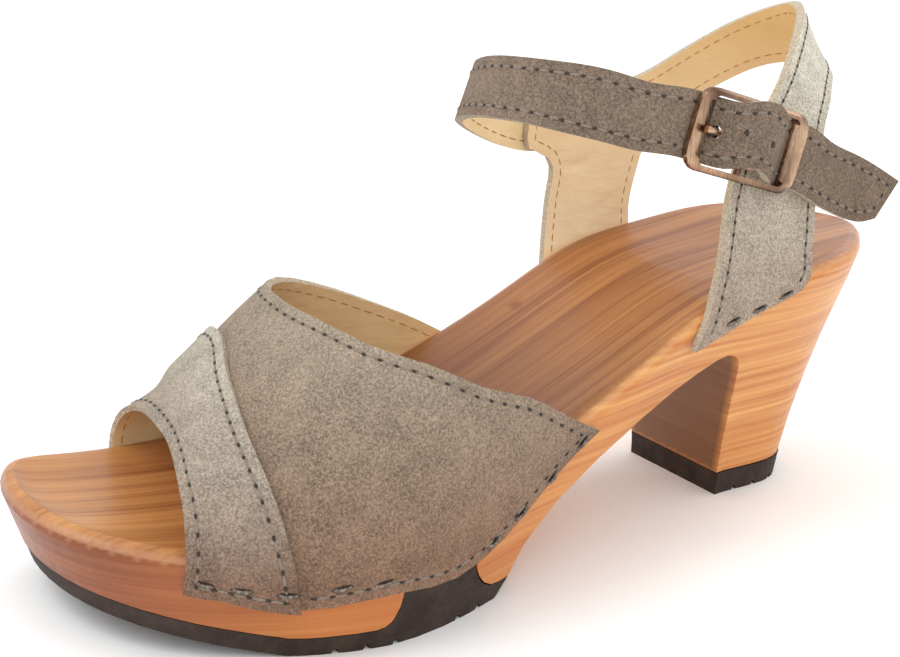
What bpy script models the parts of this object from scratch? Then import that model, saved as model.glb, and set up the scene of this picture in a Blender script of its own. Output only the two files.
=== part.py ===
"""Left heeled sandal with a carved wooden sole, a leather vamp and a buckled ankle strap.

Sizes are in millimetres and become metres in the last step of each piece.
The toe points to -Y, the heel to +Y and the outer side of the foot to +X.
"""
import bpy
import bmesh
import numpy as np
from math import cos, pi, radians, sin

MM = 0.001
# Middle of the finished shoe in the frame in which the tables below are drawn.
CENTRE_X = 1.82
CENTRE_Y = 2.5

GAP = 0.3
# Half width and half length of the solids that only cut the shoe.
OUT = 60.0
FAR = 140.0

# Sole, in millimetres.
TOE_ROUND = 3.2
HEEL_ROUND = 3.5
RUBBER = 4.4
LIFT = 6.6
BELOW = -3.0
FOOTBED_DISH = 1.8
DISH_WIDTH = 50.0
ROUND_START = -120.0
ROUND_BLEND = 60.0
WAIST_HALF = 34.0
HEEL_START = 5.0
HEEL_BLEND = 60.0
HEEL_BASE_HALF = 17.7
HEEL_BREAST = 66.9
HEEL_BASE_BACK = 97.5
HEEL_BACK_ARC = 1.62
HEEL_SQUARENESS = 2.6
HEEL_BACK_BLEND = 1.3
TREAD_INSET = 0.25
LIFT_OUTSET = 0.3
LIFT_AHEAD = 0.4
LIFT_LUGS = [74.0, 81.5, 89.0]
STATIONS = 44
ACROSS = 8

# Leather, in millimetres.
REAR_PANEL = 1.8
STRIP = 1.5
HARNESS = 2.2
STRAP = 2.2
LAP_CLEAR = 0.45
LAP_HIDDEN = 8.0
LAP_RAMP_START = 14.5
LAP_RAMP = 4.5
FORM_SINK = 2.0
HEM_UNDER = 0.2
SLING_CLEAR = 0.2
WALL_FADE = 6.0

# Buckle, in millimetres.
BUCKLE_LENGTH = 36.6
BUCKLE_HEIGHT = 20.6
BUCKLE_CORNER = 4.8
BUCKLE_INNER_CORNER = 1.6
BUCKLE_LIP = 1.06
END_BAR = 4.7
SIDE_BAR = 1.7
BUCKLE_THICK = 2.2
BUCKLE_SLOPE = 16.0
PRONG = 1.9
STRAP_HOLE = 3.2

# Outline of the wood seen from above, round the toe, the outer side, the heel and the inner side.
SOLE_OUTLINE = [
    ("x", "y"),
    (-7.0, -123.9), (9.6, -120.0), (21.9, -111.8), (32.4, -98.7), (41.7, -80.2),
    (47.5, -58.2), (46.4, -37.8), (40.5, -11.9), (37.2, 15.1), (33.6, 45.0),
    (35.1, 75.0), (29.6, 99.9), (18.3, 115.2), (0.0, 128.8), (-21.5, 119.6),
    (-30.9, 100.8), (-33.6, 75.1), (-33.2, 45.0), (-32.6, 15.1), (-34.5, -11.9),
    (-39.3, -38.0), (-41.5, -58.0), (-41.4, -79.9), (-38.9, -99.3), (-35.0, -116.4),
    (-22.3, -122.6),
]

# Height of the footbed's edge along the shoe.
FOOTBED = [
    ("y", "height"),
    (-127, 29.5), (-100, 25.7), (-75, 23.8), (-50, 25.9), (-25, 31.5), (0, 41.8),
    (25, 53.3), (50, 64.2), (75, 68.5), (100, 71.4), (127, 70.6),
]

# How much the side wall leans in for each millimetre down.
WALL_LEAN = [
    ("y", "lean"),
    (-127, 0.33), (-100, 0.14), (-58, 0.06), (0, 0.17), (40, 0.25),
]

# Share of the way from the footbed's edge to the heel's base, going down.
HEEL_TAPER = [
    ("depth", "side", "back"),
    (0, 0.0, 0.0), (3.3, 0.06, 0.06), (8.5, 0.16, 0.12), (21, 0.45, 0.34), (27, 0.56, 0.44),
    (39.5, 0.75, 0.63), (45, 0.82, 0.71), (56.6, 0.94, 0.85), (61, 0.97, 0.89),
    (72, 1.0, 1.0), (80, 1.0, 1.0),
]

# Lower face of the forefoot tread at its edges: toe spring, flat tread, slanted rear end.
TREAD = [
    ("y", "height"),
    (-140, 14.6), (-125, 10.9), (-110, 7.3), (-95, 3.7), (-80, 0.3), (-76, 0.0), (-24, 0.0),
]
TREAD_END_TOP = -19.6
TREAD_LUGS = [-70.0, -63.0, -56.0, -37.5, -30.5]
LUG_GROOVE = 1.6
LUG_DEPTH = 1.1

# Flex groove at the ball: where it starts, the wood's fore and rear edges round it, and its roof.
GROOVE_START = -62.0
GROOVE_FORE = [
    ("y", "height"),
    (-61.0, 4.7), (-59.0, 5.2), (-57.2, 6.6), (-55.6, 9.4), (-54.9, 12.2),
]
GROOVE_ROOF = 14.5
GROOVE_REAR = [
    ("y", "height"),
    (-33.0, 12.4), (-31.5, 9.4), (-29.4, 6.9), (-26.6, 5.2), (-23.5, 4.7),
]

# Underside of the arch and the heel's breast.
ARCH = [
    ("y", "height"),
    (-19.9, 4.7), (-17.6, 8.2), (-15.0, 12.1), (-4.0, 20.9), (9.6, 28.7), (22.0, 33.5),
    (36.5, 38.2), (47.2, 42.3), (53.1, 45.0), (56.9, 45.9), (59.3, 45.4), (61.3, 43.9),
    (62.9, 41.2), (64.0, 34.0), (65.2, 22.0), (66.2, LIFT + GAP),
]

# Sections of the foot's form under the vamp: place and height of its crest, and how square
# its outer and inner shoulders are.
FOOT_FORM = [
    ("y", "crest_x", "crest_z", "outer_power", "inner_power"),
    (-108, 4.0, 31.0, 2.9, 2.1), (-98, 3.0, 37.2, 2.9, 2.1), (-78, 0.0, 48.6, 2.6, 2.05),
    (-62, -3.0, 63.2, 2.4, 2.1), (-45, -5.0, 75.6, 2.3, 2.2), (-25, -6.0, 87.8, 2.2, 2.2),
    (9, -6.0, 109.0, 2.2, 2.2),
]

# Lower edge of the vamp, tacked to the side of the wood.
VAMP_HEM = [
    ("y", "height"),
    (-104, 18.5), (-97.4, 16.6), (-93, 16.1), (-78.9, 13.2), (-69.3, 13.7), (-55.2, 14.4),
    (-43.8, 13.6), (-33.6, 15.8), (-18.6, 23.4), (-8.2, 31.0), (4.2, 38.2), (9, 41.0),
]

# Edges of the vamp's two pieces; "round" goes over the foot from the outer hem, 0, to the inner, 1.
VAMP_EDGES = [
    ("round", "peep", "seam", "top_line"),
    (0.0, -100.8, -79.6, 4.4), (0.046, -100.7, -80.4, -3.0), (0.1, -100.4, -81.7, -10.8),
    (0.17, -99.4, -82.9, -21.5), (0.22, -98.2, -83.1, -32.5), (0.27, -97.0, -82.8, -41.7),
    (0.32, -95.7, -82.0, -50.6), (0.38, -94.1, -80.4, -55.5), (0.45, -92.3, -77.9, -57.9),
    (0.53, -91.2, -74.4, -58.5), (0.6, -90.1, -70.3, -56.8), (0.66, -89.2, -67.9, -52.0),
    (0.72, -88.6, -65.9, -40.5), (0.79, -88.2, -64.2, -25.0), (0.89, -88.3, -62.7, -8.2),
    (0.96, -88.8, -62.1, 3.0), (1.0, -89.0, -61.8, 9.0),
]

# Quarters and heel sling, one strip from the outer hem round the heel to the inner hem:
# its front or upper edge, then its rear or lower edge.
SLING = [
    ("fx", "fy", "fz", "rx", "ry", "rz"),
    (34.8, 37.6, 51.8, 35.5, 71.2, 64.0), (34.9, 40.2, 58.2, 35.6, 73.6, 65.8),
    (35.1, 42.2, 66.0, 35.4, 75.3, 70.0), (34.8, 43.9, 74.0, 34.9, 76.2, 77.5),
    (33.8, 45.4, 82.0, 33.5, 77.1, 85.0), (32.6, 47.0, 90.0, 32.2, 78.4, 92.0),
    (31.6, 50.5, 99.0, 30.6, 80.2, 99.5), (30.5, 56.5, 107.0, 28.4, 83.0, 106.0),
    (28.4, 64.4, 114.8, 25.2, 87.6, 110.5), (23.8, 72.9, 122.3, 20.2, 93.0, 113.4),
    (15.8, 83.5, 129.4, 12.8, 100.6, 115.9), (6.0, 94.0, 133.0, 4.0, 106.2, 117.2),
    (-3.5, 101.2, 133.9, -4.5, 109.0, 117.3), (-11.5, 104.0, 132.6, -11.5, 108.6, 116.4),
    (-19.0, 99.6, 129.0, -17.6, 105.0, 114.6), (-25.8, 92.2, 123.4, -23.4, 99.6, 110.8),
    (-30.4, 83.4, 117.2, -27.8, 93.2, 106.2), (-33.2, 72.6, 111.2, -31.0, 86.0, 100.6),
    (-34.4, 58.0, 107.4, -33.0, 80.4, 95.6), (-34.2, 43.0, 106.8, -33.7, 77.6, 92.8),
    (-34.0, 33.4, 108.0, -33.9, 76.4, 91.2), (-34.1, 33.2, 100.0, -34.0, 75.6, 89.8),
    (-34.2, 33.4, 92.6, -34.1, 75.0, 88.4), (-34.3, 39.2, 90.2, -34.2, 74.4, 86.6),
    (-34.4, 42.3, 87.0, -34.3, 73.6, 83.2), (-34.6, 42.2, 80.0, -34.6, 72.4, 77.4),
    (-34.9, 41.6, 71.0, -34.9, 72.2, 71.0), (-35.0, 41.4, 62.0, -35.0, 72.6, 66.0),
    (-34.9, 41.4, 54.0, -34.9, 70.0, 61.0),
]

# Ankle strap: its upper and lower edge from the inner quarter round the front to the buckle.
STRAP_FRONT = [
    ("ux", "uy", "uz", "lx", "ly", "lz"),
    (-36.9, 44.5, 106.3, -37.0, 44.5, 90.4), (-36.8, 33.4, 107.4, -36.9, 32.6, 91.4),
    (-34.8, 24.0, 110.4, -35.2, 21.6, 94.8), (-31.0, 15.8, 113.9, -31.8, 12.2, 98.9),
    (-24.6, 9.0, 117.3, -25.8, 4.6, 102.6), (-16.4, 4.4, 120.2, -17.8, -0.4, 105.4),
    (-6.4, 2.2, 122.4, -7.8, -3.2, 107.7), (4.3, 2.6, 123.4, 2.4, -3.6, 108.8),
    (13.0, 5.4, 123.6, 11.8, -1.0, 108.8), (20.2, 9.8, 123.3, 20.0, 4.0, 107.6),
    (25.6, 15.4, 122.0, 26.2, 11.0, 105.9), (29.3, 21.6, 120.0, 30.6, 17.8, 104.1),
]

# Ankle strap inside the buckle, in the buckle's own axes: under the front bar, out over the
# centre bar and under the rear bar.
STRAP_IN_BUCKLE = [
    ("along", "out", "rise"),
    (-19.5, -2.6, 0.0), (-14.0, -2.6, 0.0), (-10.5, -1.2, 0.0), (-6.8, 2.0, 0.2),
    (-2.0, 3.8, 2.0), (3.0, 3.8, 2.0), (7.6, 2.0, 0.2), (11.0, -1.2, 0.0), (14.5, -2.6, 0.0),
    (20.0, -2.5, 0.0),
]

# Ankle strap behind the buckle to its slanted tip: upper and lower edge.
STRAP_TIP = [
    ("ux", "uy", "uz", "lx", "ly", "lz"),
    (36.1, 77.5, 103.1, 36.5, 73.2, 87.6), (35.7, 87.3, 99.2, 36.1, 82.6, 83.4),
    (35.4, 97.6, 94.7, 35.8, 91.4, 80.6), (35.1, 106.6, 90.2, 35.5, 98.4, 80.8),
]
STRAP_HALF_WIDTH = 8.25

# Middle of the buckle and its turn about the upright.
BUCKLE_CENTRE = (37.8, 47.0, 105.5)
BUCKLE_TURN = -3.4
CENTRE_BAR = 2.0
CENTRE_BAR_OUT = -0.6

# Leather loop that holds the buckle, from the quarter's face round the centre bar and back.
LOOP_PATH = [
    ("along", "out"),
    (13.0, -4.5), (10.0, -4.4), (7.0, -3.6), (4.5, -2.9), (1.5, -2.5), (-0.6, -2.2),
    (-1.8, -1.2), (-1.9, 0.0), (-0.7, 1.1), (1.4, 1.0), (3.4, 0.2), (5.6, -1.2),
]
LOOP_HALF_WIDTH = 6.5
LOOP_THICK = 1.0
LOOP_SLOT = 3.2
LOOP_SLOT_ALONG = (-6.0, 2.4)
LOOP_SLOT_OUT = (-5.0, 5.0)

# Prong from the centre bar through the strap to the front bar.
PRONG_PATH = [
    ("along", "out"),
    (-2.9, -0.6), (-5.0, -1.2), (-8.0, -1.8), (-9.8, -1.2), (-11.2, 0.3), (-12.6, 1.7),
    (-14.0, 2.4), (-15.8, 2.35),
]


# Numbers of steps: round the foot, over its crown and up its sides, and along each strip.
FOOT_STEPS = 33
CROWN_STEPS = 40
SIDE_STEPS = 6
REAR_STEPS = 12
STRIP_STEPS = 9
SLING_STEPS = 84
STRAP_STEPS = 92
LOOP_STEPS = 27


def columns(table):
    """Split a table into arrays named by its first row."""
    rows = np.array(table[1:], float)
    return {name: rows[:, i] for i, name in enumerate(table[0])}


def read(table, key, value, at):
    """Read one column of a table at other places, in straight steps."""
    data = columns(table)
    return np.interp(at, data[key], data[value])


def smooth_curve(knots, values):
    """Natural cubic curve through values given at knots; returns a function."""
    x = np.asarray(knots, float)
    y = np.asarray(values, float)
    if y.ndim == 1:
        y = y[:, None]
    step = np.diff(x)
    count = len(x)
    matrix = np.eye(count)
    right = np.zeros((count, y.shape[1]))
    for i in range(1, count - 1):
        matrix[i, i - 1:i + 2] = step[i - 1], 2 * (step[i - 1] + step[i]), step[i]
        right[i] = 6 * ((y[i + 1] - y[i]) / step[i] - (y[i] - y[i - 1]) / step[i - 1])
    bend = np.linalg.solve(matrix, right)

    def at(place):
        t = np.clip(np.asarray(place, float), x[0], x[-1])
        k = np.clip(np.searchsorted(x, t, side="right") - 1, 0, count - 2)
        p = (x[k + 1] - t)[..., None]
        q = (t - x[k])[..., None]
        h = step[k][..., None]
        low = (y[k] / h - bend[k] * h / 6) * p
        high = (y[k + 1] / h - bend[k + 1] * h / 6) * q
        return (bend[k] * p ** 3 + bend[k + 1] * q ** 3) / (6 * h) + low + high

    return at


def ease(t):
    """Soft step from 0 to 1."""
    t = np.clip(t, 0, 1)
    return t * t * (3 - 2 * t)


def travelled(points):
    """Length along a line of points, up to each point."""
    return np.concatenate([[0.0], np.cumsum(np.linalg.norm(np.diff(points, axis=0), axis=1))])


def outline_sides():
    """Outer and inner half of the outline, each from the toe tip to the heel's end."""
    closed = np.array(SOLE_OUTLINE[1:], float)
    closed = np.vstack([closed[-3:], closed, closed[:4]])
    along = travelled(closed)
    last = 3 + len(SOLE_OUTLINE) - 1
    points = smooth_curve(along, closed)(np.linspace(along[3], along[last], 1600, endpoint=False))
    points = np.roll(points, -np.argmin(points[:, 1]), axis=0)
    heel = np.argmax(points[:, 1])
    return points[:heel + 1], np.vstack([points[heel:], points[:1]])[::-1]


OUTER_SIDE, INNER_SIDE = outline_sides()
footbed_height = smooth_curve(columns(FOOTBED)["y"], columns(FOOTBED)["height"])
foot_form = smooth_curve([row[0] for row in FOOT_FORM[1:]], [row[1:] for row in FOOT_FORM[1:]])
vamp_hem = smooth_curve(columns(VAMP_HEM)["y"], columns(VAMP_HEM)["height"])
vamp_edges = smooth_curve([row[0] for row in VAMP_EDGES[1:]], [row[1:] for row in VAMP_EDGES[1:]])


def side_points(side):
    """Outline points of the outer side, +1, or the inner side, -1."""
    return OUTER_SIDE if side > 0 else INNER_SIDE


def side_normals(side):
    """Outward directions at the outline points of one side."""
    points = side_points(side)
    along = np.gradient(points, axis=0)
    along /= np.linalg.norm(along, axis=1)[:, None]
    return np.column_stack([along[:, 1], -along[:, 0]]) * side


def heel_base(share, side):
    """Point of the heel's base, from its breast corner, share 0, to its back, share 1."""
    straight = HEEL_BASE_BACK - HEEL_BASE_HALF - HEEL_BREAST
    total = straight + HEEL_BACK_ARC * HEEL_BASE_HALF
    if share * total < straight:
        return side * HEEL_BASE_HALF, HEEL_BREAST + share * total
    turn = (share * total - straight) / (total - straight) * pi / 2
    power = 2 / HEEL_SQUARENESS
    x = HEEL_BASE_HALF * max(cos(turn), 0) ** power
    y = HEEL_BASE_HALF * sin(turn) ** power
    return side * x, HEEL_BASE_BACK - HEEL_BASE_HALF + y


def wall_inset(y, depth):
    """How far the side wall stands inside the outline, ahead of the heel."""
    plain = read(WALL_LEAN, "y", "lean", y) * depth
    heel = read(HEEL_TAPER, "depth", "side", depth) * (WAIST_HALF - HEEL_BASE_HALF)
    return plain + (heel - plain) * ease((y - HEEL_START) / HEEL_BLEND)


def edge_round(y):
    """Radius of the footbed's rounded edge."""
    return TOE_ROUND + (HEEL_ROUND - TOE_ROUND) * ease((y - ROUND_START) / ROUND_BLEND)


def wall_depth(y, depth):
    """Depth that counts for the wall's lean: none down to the end of the rounded edge."""
    top, edge = footbed_height(y)[..., 0], edge_round(y)
    share = np.clip((depth - edge) / (top - edge - BELOW), 0, 1)
    return np.maximum(depth - edge * (1 - share), 0)


def wall_x(y, z, side):
    """Side wall of the wood at a height."""
    points = side_points(side)
    depth = wall_depth(y, footbed_height(y)[..., 0] - z)
    return np.interp(y, points[:, 1], points[:, 0]) - side * wall_inset(y, depth)


def wall_point(side, place, depth, grow):
    """One point of the sole's wall, given its outline point, direction and share of the heel."""
    x, y, nx, ny, share = place
    if share is None:
        inset = wall_inset(y, depth) - grow
        return x - nx * inset, y - ny * inset
    base_x, base_y = heel_base(share, side)
    side_step = read(HEEL_TAPER, "depth", "side", depth)
    back_step = read(HEEL_TAPER, "depth", "back", depth)
    step = side_step + (back_step - side_step) * ease(share * HEEL_BACK_BLEND)
    return x + (base_x - x) * step + nx * grow, y + (base_y - y) * step + ny * grow


def places(side):
    """Outline point, direction and heel share at each station of one side."""
    points = side_points(side)
    normals = side_normals(side)
    toe, heel = points[0, 1], points[-1, 1]
    turn = np.linspace(0, pi, STATIONS + 1)
    stations = toe + (heel - toe) * (1 - np.cos(turn)) / 2
    along = travelled(points)
    breast = np.interp(HEEL_BREAST, points[:, 1], along)
    found = []
    for y in stations:
        here = np.interp(y, points[:, 1], along)
        row = [np.interp(here, along, column) for column in (*points.T, *normals.T)]
        share = (here - breast) / (along[-1] - breast) if here > breast else None
        found.append((*row, share))
    found[0] = (*points[0], 0.0, -1.0, None)
    found[-1] = (*points[-1], 0.0, 1.0, 1.0)
    return found


def ring(level, grow):
    """Points of one ring of the sole's wall, outer side then inner side, toe to heel."""
    kind, amount = level
    sides = []
    for side in (1, -1):
        line = []
        for place in places(side):
            x, y, nx, ny, share = place
            top = float(footbed_height(y)[0])
            edge = float(edge_round(y))
            if kind == "round":
                inset = edge * (1 - sin(amount)) - grow
                drop = edge * (1 - cos(amount))
                line.append((x - nx * inset, y - ny * inset, top - drop))
            else:
                depth = edge + amount * (top - edge - BELOW)
                px, py = wall_point(side, place, float(wall_depth(y, depth)), grow)
                line.append((px, py, top - depth))
        sides.append(np.array(line))
    return sides


def sole_block(name, grow=0.0):
    """Closed block with the sole's outline, side walls and footbed, down past the floor."""
    levels = [("round", radians(a)) for a in (0, 32, 62, 90)]
    levels += [("wall", a) for a in (0.1, 0.22, 0.36, 0.52, 0.7, 0.88, 1.0)]
    mesh = bmesh.new()
    rows = [[[mesh.verts.new(p) for p in side] for side in ring(level, grow)] for level in levels]
    outer_top, inner_top = ring(levels[0], grow)
    grid = []
    for j in range(STATIONS + 1):
        width = np.linalg.norm(outer_top[j] - inner_top[j])
        line = [rows[0][1][j]]
        for i in range(1, ACROSS):
            f = i / ACROSS
            point = inner_top[j] * (1 - f) + outer_top[j] * f
            point[2] -= FOOTBED_DISH * (1 - (2 * f - 1) ** 2) * float(ease(width / DISH_WIDTH))
            line.append(mesh.verts.new(point))
        line.append(rows[0][0][j])
        grid.append(line)
    for j in range(STATIONS):
        for i in range(ACROSS):
            mesh.faces.new((grid[j][i], grid[j][i + 1], grid[j + 1][i + 1], grid[j + 1][i]))
        for side in (0, 1):
            for upper, lower in zip(rows, rows[1:]):
                a, b = upper[side], lower[side]
                mesh.faces.new((a[j], b[j], b[j + 1], a[j + 1]))
        a, b = rows[-1]
        mesh.faces.new((a[j], b[j], b[j + 1], a[j + 1]))
    return finish(name, mesh)


def finish(name, mesh, merge=0.01, flat_angle=34.0):
    """Scale a mesh to metres, move it to the shoe's middle and make its object."""
    bmesh.ops.remove_doubles(mesh, verts=mesh.verts, dist=merge)
    bmesh.ops.dissolve_degenerate(mesh, edges=mesh.edges, dist=merge / 10)
    for vert in mesh.verts:
        vert.co.x = (vert.co.x - CENTRE_X) * MM
        vert.co.y = (vert.co.y - CENTRE_Y) * MM
        vert.co.z *= MM
    bmesh.ops.recalc_face_normals(mesh, faces=mesh.faces)
    data = bpy.data.meshes.new(name)
    mesh.to_mesh(data)
    mesh.free()
    data.shade_smooth()
    data.set_sharp_from_angle(angle=radians(flat_angle))
    piece = bpy.data.objects.new(name, data)
    bpy.context.collection.objects.link(piece)
    return piece


def prism(name, profile):
    """Closed prism across the shoe with a side-view profile of (y, z) points."""
    mesh = bmesh.new()
    ends = [[mesh.verts.new((x, y, z)) for y, z in profile] for x in (-OUT, OUT)]
    count = len(profile)
    for i in range(count):
        k = (i + 1) % count
        mesh.faces.new((ends[0][i], ends[0][k], ends[1][k], ends[1][i]))
    mesh.faces.new(ends[0])
    mesh.faces.new(ends[1])
    return finish(name, mesh)


def cutter(piece):
    """Hide a solid that only shapes another."""
    piece.hide_render = True
    piece.display_type = "WIRE"
    return piece


def boolean(piece, operation, other):
    """Cut, join or intersect one solid with another."""
    modifier = piece.modifiers.new(operation.title(), "BOOLEAN")
    modifier.operation = operation
    modifier.solver = "EXACT"
    modifier.object = other
    return piece


def material(piece, name, colour, roughness, metallic=0.0):
    """Give a piece its own plain finish."""
    finish_of = bpy.data.materials.new(name)
    finish_of.use_nodes = True
    shader = finish_of.node_tree.nodes["Principled BSDF"]
    shader.inputs["Base Color"].default_value = (*colour, 1.0)
    shader.inputs["Roughness"].default_value = roughness
    shader.inputs["Metallic"].default_value = metallic
    piece.data.materials.append(finish_of)
    return piece


def pairs(table):
    """Rows of a two-column table as points."""
    return [tuple(row) for row in table[1:]]


def wood_underside(gap=0.0):
    """Side profile of the wood's lower face from the toe to the arch, lowered by a gap."""
    fore = [(y, z + RUBBER + GAP) for y, z in pairs(TREAD) if y < GROOVE_START]
    fore_edge = [(y - gap, z) for y, z in pairs(GROOVE_FORE)]
    rear_edge = [(y + gap, z) for y, z in pairs(GROOVE_REAR)]
    roof = [(fore_edge[-1][0], GROOVE_ROOF), (rear_edge[0][0], GROOVE_ROOF)]
    return fore + fore_edge + roof + rear_edge


def wood_sole():
    """Carved wood: footbed, side walls, flex groove, arch and tapered heel."""
    profile = [(y, z) for y, z in wood_underside()] + pairs(ARCH)
    profile += [(FAR, LIFT + GAP), (FAR, 2 * BELOW), (-FAR, 2 * BELOW)]
    below = cutter(prism("cut_underside", profile))
    return boolean(sole_block("wood_sole"), "DIFFERENCE", below)


def lugged(points, lugs):
    """Add the cross grooves between lugs to a flat stretch of a lower profile."""
    made = []
    for (y0, z0), (y1, z1) in zip(points, points[1:]):
        made.append((y0, z0))
        for y in sorted(lugs):
            if y0 < y < y1 and z0 == z1:
                made += [(y - LUG_GROOVE / 2, z0), (y - LUG_GROOVE / 3, z0 + LUG_DEPTH)]
                made += [(y + LUG_GROOVE / 3, z0 + LUG_DEPTH), (y + LUG_GROOVE / 2, z0)]
    made.append(points[-1])
    return made


def forefoot_tread():
    """Rubber forefoot sole with its wedge standing in the flex groove."""
    lower = lugged(pairs(TREAD), TREAD_LUGS)
    top = [(y, z - GAP) for y, z in wood_underside() if y < GROOVE_START]
    wedge = [(y + GAP, z - GAP) for y, z in pairs(GROOVE_FORE)]
    roof = GROOVE_ROOF - GAP
    wedge.append((wedge[-1][0], roof))
    rear = [(y - GAP, z - GAP) for y, z in pairs(GROOVE_REAR)]
    wedge.append((rear[0][0], roof))
    upper = top + wedge + rear + [(TREAD_END_TOP, RUBBER)]
    slab = cutter(prism("form_tread", lower + upper[::-1]))
    return boolean(sole_block("forefoot_tread", -TREAD_INSET), "INTERSECT", slab)


def heel_lift():
    """Rubber lift under the heel with three cross grooves."""
    front, back = HEEL_BREAST - LIFT_AHEAD, FAR
    lower = lugged([(front, 0.0), (back, 0.0)], LIFT_LUGS)
    slab = cutter(prism("form_lift", lower + [(back, LIFT), (front, LIFT)]))
    return boolean(sole_block("heel_lift", LIFT_OUTSET), "INTERSECT", slab)


def shell(name, middle, thickness):
    """Closed wall of even thickness about a grid of middle points."""
    middle = np.asarray(middle, float)
    run = np.gradient(middle, axis=0)
    cross = np.gradient(middle, axis=1)
    normal = np.cross(run, cross)
    normal /= np.maximum(np.linalg.norm(normal, axis=2), 1e-9)[..., None]
    half = np.broadcast_to(np.asarray(thickness, float) / 2, middle.shape[:2])[..., None]
    mesh = bmesh.new()
    sheets = []
    for sign in (1, -1):
        points = middle + normal * half * sign
        sheets.append([[mesh.verts.new(p) for p in line] for line in points])
    rows, cols = middle.shape[:2]
    for sheet in sheets:
        for i in range(rows - 1):
            for j in range(cols - 1):
                mesh.faces.new((sheet[i][j], sheet[i][j + 1], sheet[i + 1][j + 1], sheet[i + 1][j]))
    rim = [(i, 0) for i in range(rows)] + [(rows - 1, j) for j in range(1, cols)]
    rim += [(i, cols - 1) for i in range(rows - 2, -1, -1)] + [(0, j) for j in range(cols - 2, 0, -1)]
    for (i, j), (k, m) in zip(rim, rim[1:] + rim[:1]):
        mesh.faces.new((sheets[0][i][j], sheets[0][k][m], sheets[1][k][m], sheets[1][i][j]))
    return finish(name, mesh, merge=0.001)


def foot_section(y, stand_off):
    """Section of the foot's form, from the outer hem over the crest to the inner hem."""
    crest_x, crest_z, outer_power, inner_power = foot_form(y)
    base = float(footbed_height(y)[0]) - FORM_SINK
    hem = min(float(vamp_hem(y)[0]), base - HEM_UNDER)
    points = []
    for side, power in ((1, outer_power), (-1, inner_power)):
        foot = float(wall_x(y, base, side)) + side * stand_off
        heights = np.linspace(hem, base, SIDE_STEPS)[:-1]
        half = [(float(wall_x(y, z, side)) + side * stand_off, z) for z in heights]
        for turn in np.linspace(0, pi / 2, CROWN_STEPS):
            x = crest_x + (foot - crest_x) * cos(turn) ** (2 / power)
            half.append((x, base + (crest_z + stand_off - base) * sin(turn) ** (2 / power)))
        points.append(np.array(half))
    line = np.vstack([points[0], points[1][::-1][1:]])
    return travelled(line) / travelled(line)[-1], line


def on_foot(y, share, stand_off):
    """Point on the foot's form at a place along the shoe and a share of the way round."""
    shares, line = foot_section(y, stand_off)
    return (np.interp(share, shares, line[:, 0]), y, np.interp(share, shares, line[:, 1]))


def vamp_panel(name, front, rear, thickness, steps, stand_off):
    """Leather panel between two edges that run over the foot."""
    grid = []
    for share in np.linspace(0, 1, FOOT_STEPS):
        start, end = front(share), rear(share)
        row = []
        for step in np.linspace(0, 1, steps + 1):
            y = start + (end - start) * step
            row.append(on_foot(y, share, stand_off(y - end)))
        grid.append(row)
    return shell(name, grid, thickness)


def edge_of(index, shift=0.0):
    """One of the vamp's edges as a function of the way round the foot."""
    return lambda share: float(vamp_edges(share)[index]) + shift


def vamp_rear_panel():
    """Main vamp panel; its front end lies under the front strip."""
    stand = GAP + REAR_PANEL / 2
    return vamp_panel("vamp_rear_panel", edge_of(1, -LAP_HIDDEN), edge_of(2),
                      REAR_PANEL, REAR_STEPS, lambda back: stand)


def vamp_front_strip():
    """Front strip, which steps up over the front end of the rear panel."""
    under = GAP + STRIP / 2
    over = GAP + REAR_PANEL + GAP + STRIP / 2 + LAP_CLEAR

    def stand(back):
        return under + (over - under) * float(ease((back + LAP_RAMP_START) / LAP_RAMP))

    return vamp_panel("vamp_front_strip", edge_of(0), edge_of(1), STRIP, STRIP_STEPS, stand)


def strip_grid(rows, steps, across):
    """Middle points of a strip between two edge lines, each row giving a point of both."""
    rows = np.array(rows, float)
    along = travelled((rows[:, :3] + rows[:, 3:]) / 2 + (rows[:, :3] - rows[:, 3:]) * 0.2)
    lines = smooth_curve(along, rows)(np.linspace(0, along[-1], steps + 1))
    grid = []
    for row in lines:
        first, second = row[:3], row[3:]
        grid.append([first + (second - first) * f for f in np.linspace(0, 1, across)])
    return np.array(grid)


def off_the_wood(point, stand):
    """Push a leather point out to its distance from the wood's side wall."""
    x, y, z = point
    side = 1 if x > 0 else -1
    top = float(footbed_height(y)[0])
    limit = side * float(wall_x(y, z, side)) + stand
    near = float(ease((top + WALL_FADE - z) / WALL_FADE))
    return side * (side * x + max(limit - side * x, 0) * near), y, z


def heel_sling():
    """Both quarters and the sling round the heel, cut in one piece."""
    grid = strip_grid(SLING[1:], SLING_STEPS, 6)
    stand = GAP + HARNESS / 2 + SLING_CLEAR
    return shell("heel_sling", [[off_the_wood(p, stand) for p in line] for line in grid], HARNESS)


def buckle_place(along, up, out):
    """Point of the buckle in its own axes, put in its place on the strap."""
    slope, turn = radians(BUCKLE_SLOPE), radians(BUCKLE_TURN)
    x = out * cos(turn) - along * sin(turn)
    y = out * sin(turn) + along * cos(turn)
    cx, cy, cz = BUCKLE_CENTRE
    return cx + x, cy + y * cos(slope) + up * sin(slope), cz - y * sin(slope) + up * cos(slope)


def ankle_strap():
    """Ankle strap from the inner quarter round the front, through the buckle to its tip."""
    inside = []
    for along, out, rise in STRAP_IN_BUCKLE[1:]:
        upper = buckle_place(along, rise + STRAP_HALF_WIDTH, out)
        inside.append((*upper, *buckle_place(along, rise - STRAP_HALF_WIDTH, out)))
    rows = STRAP_FRONT[1:] + inside + STRAP_TIP[1:]
    strap = shell("ankle_strap", strip_grid(rows, STRAP_STEPS, 5), STRAP)
    hole = [buckle_place(along, 0.0, out) for along, out in PRONG_PATH[3:7]]
    return boolean(strap, "DIFFERENCE", cutter(rod("cut_hole", hole, STRAP_HOLE / 2)))


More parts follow.
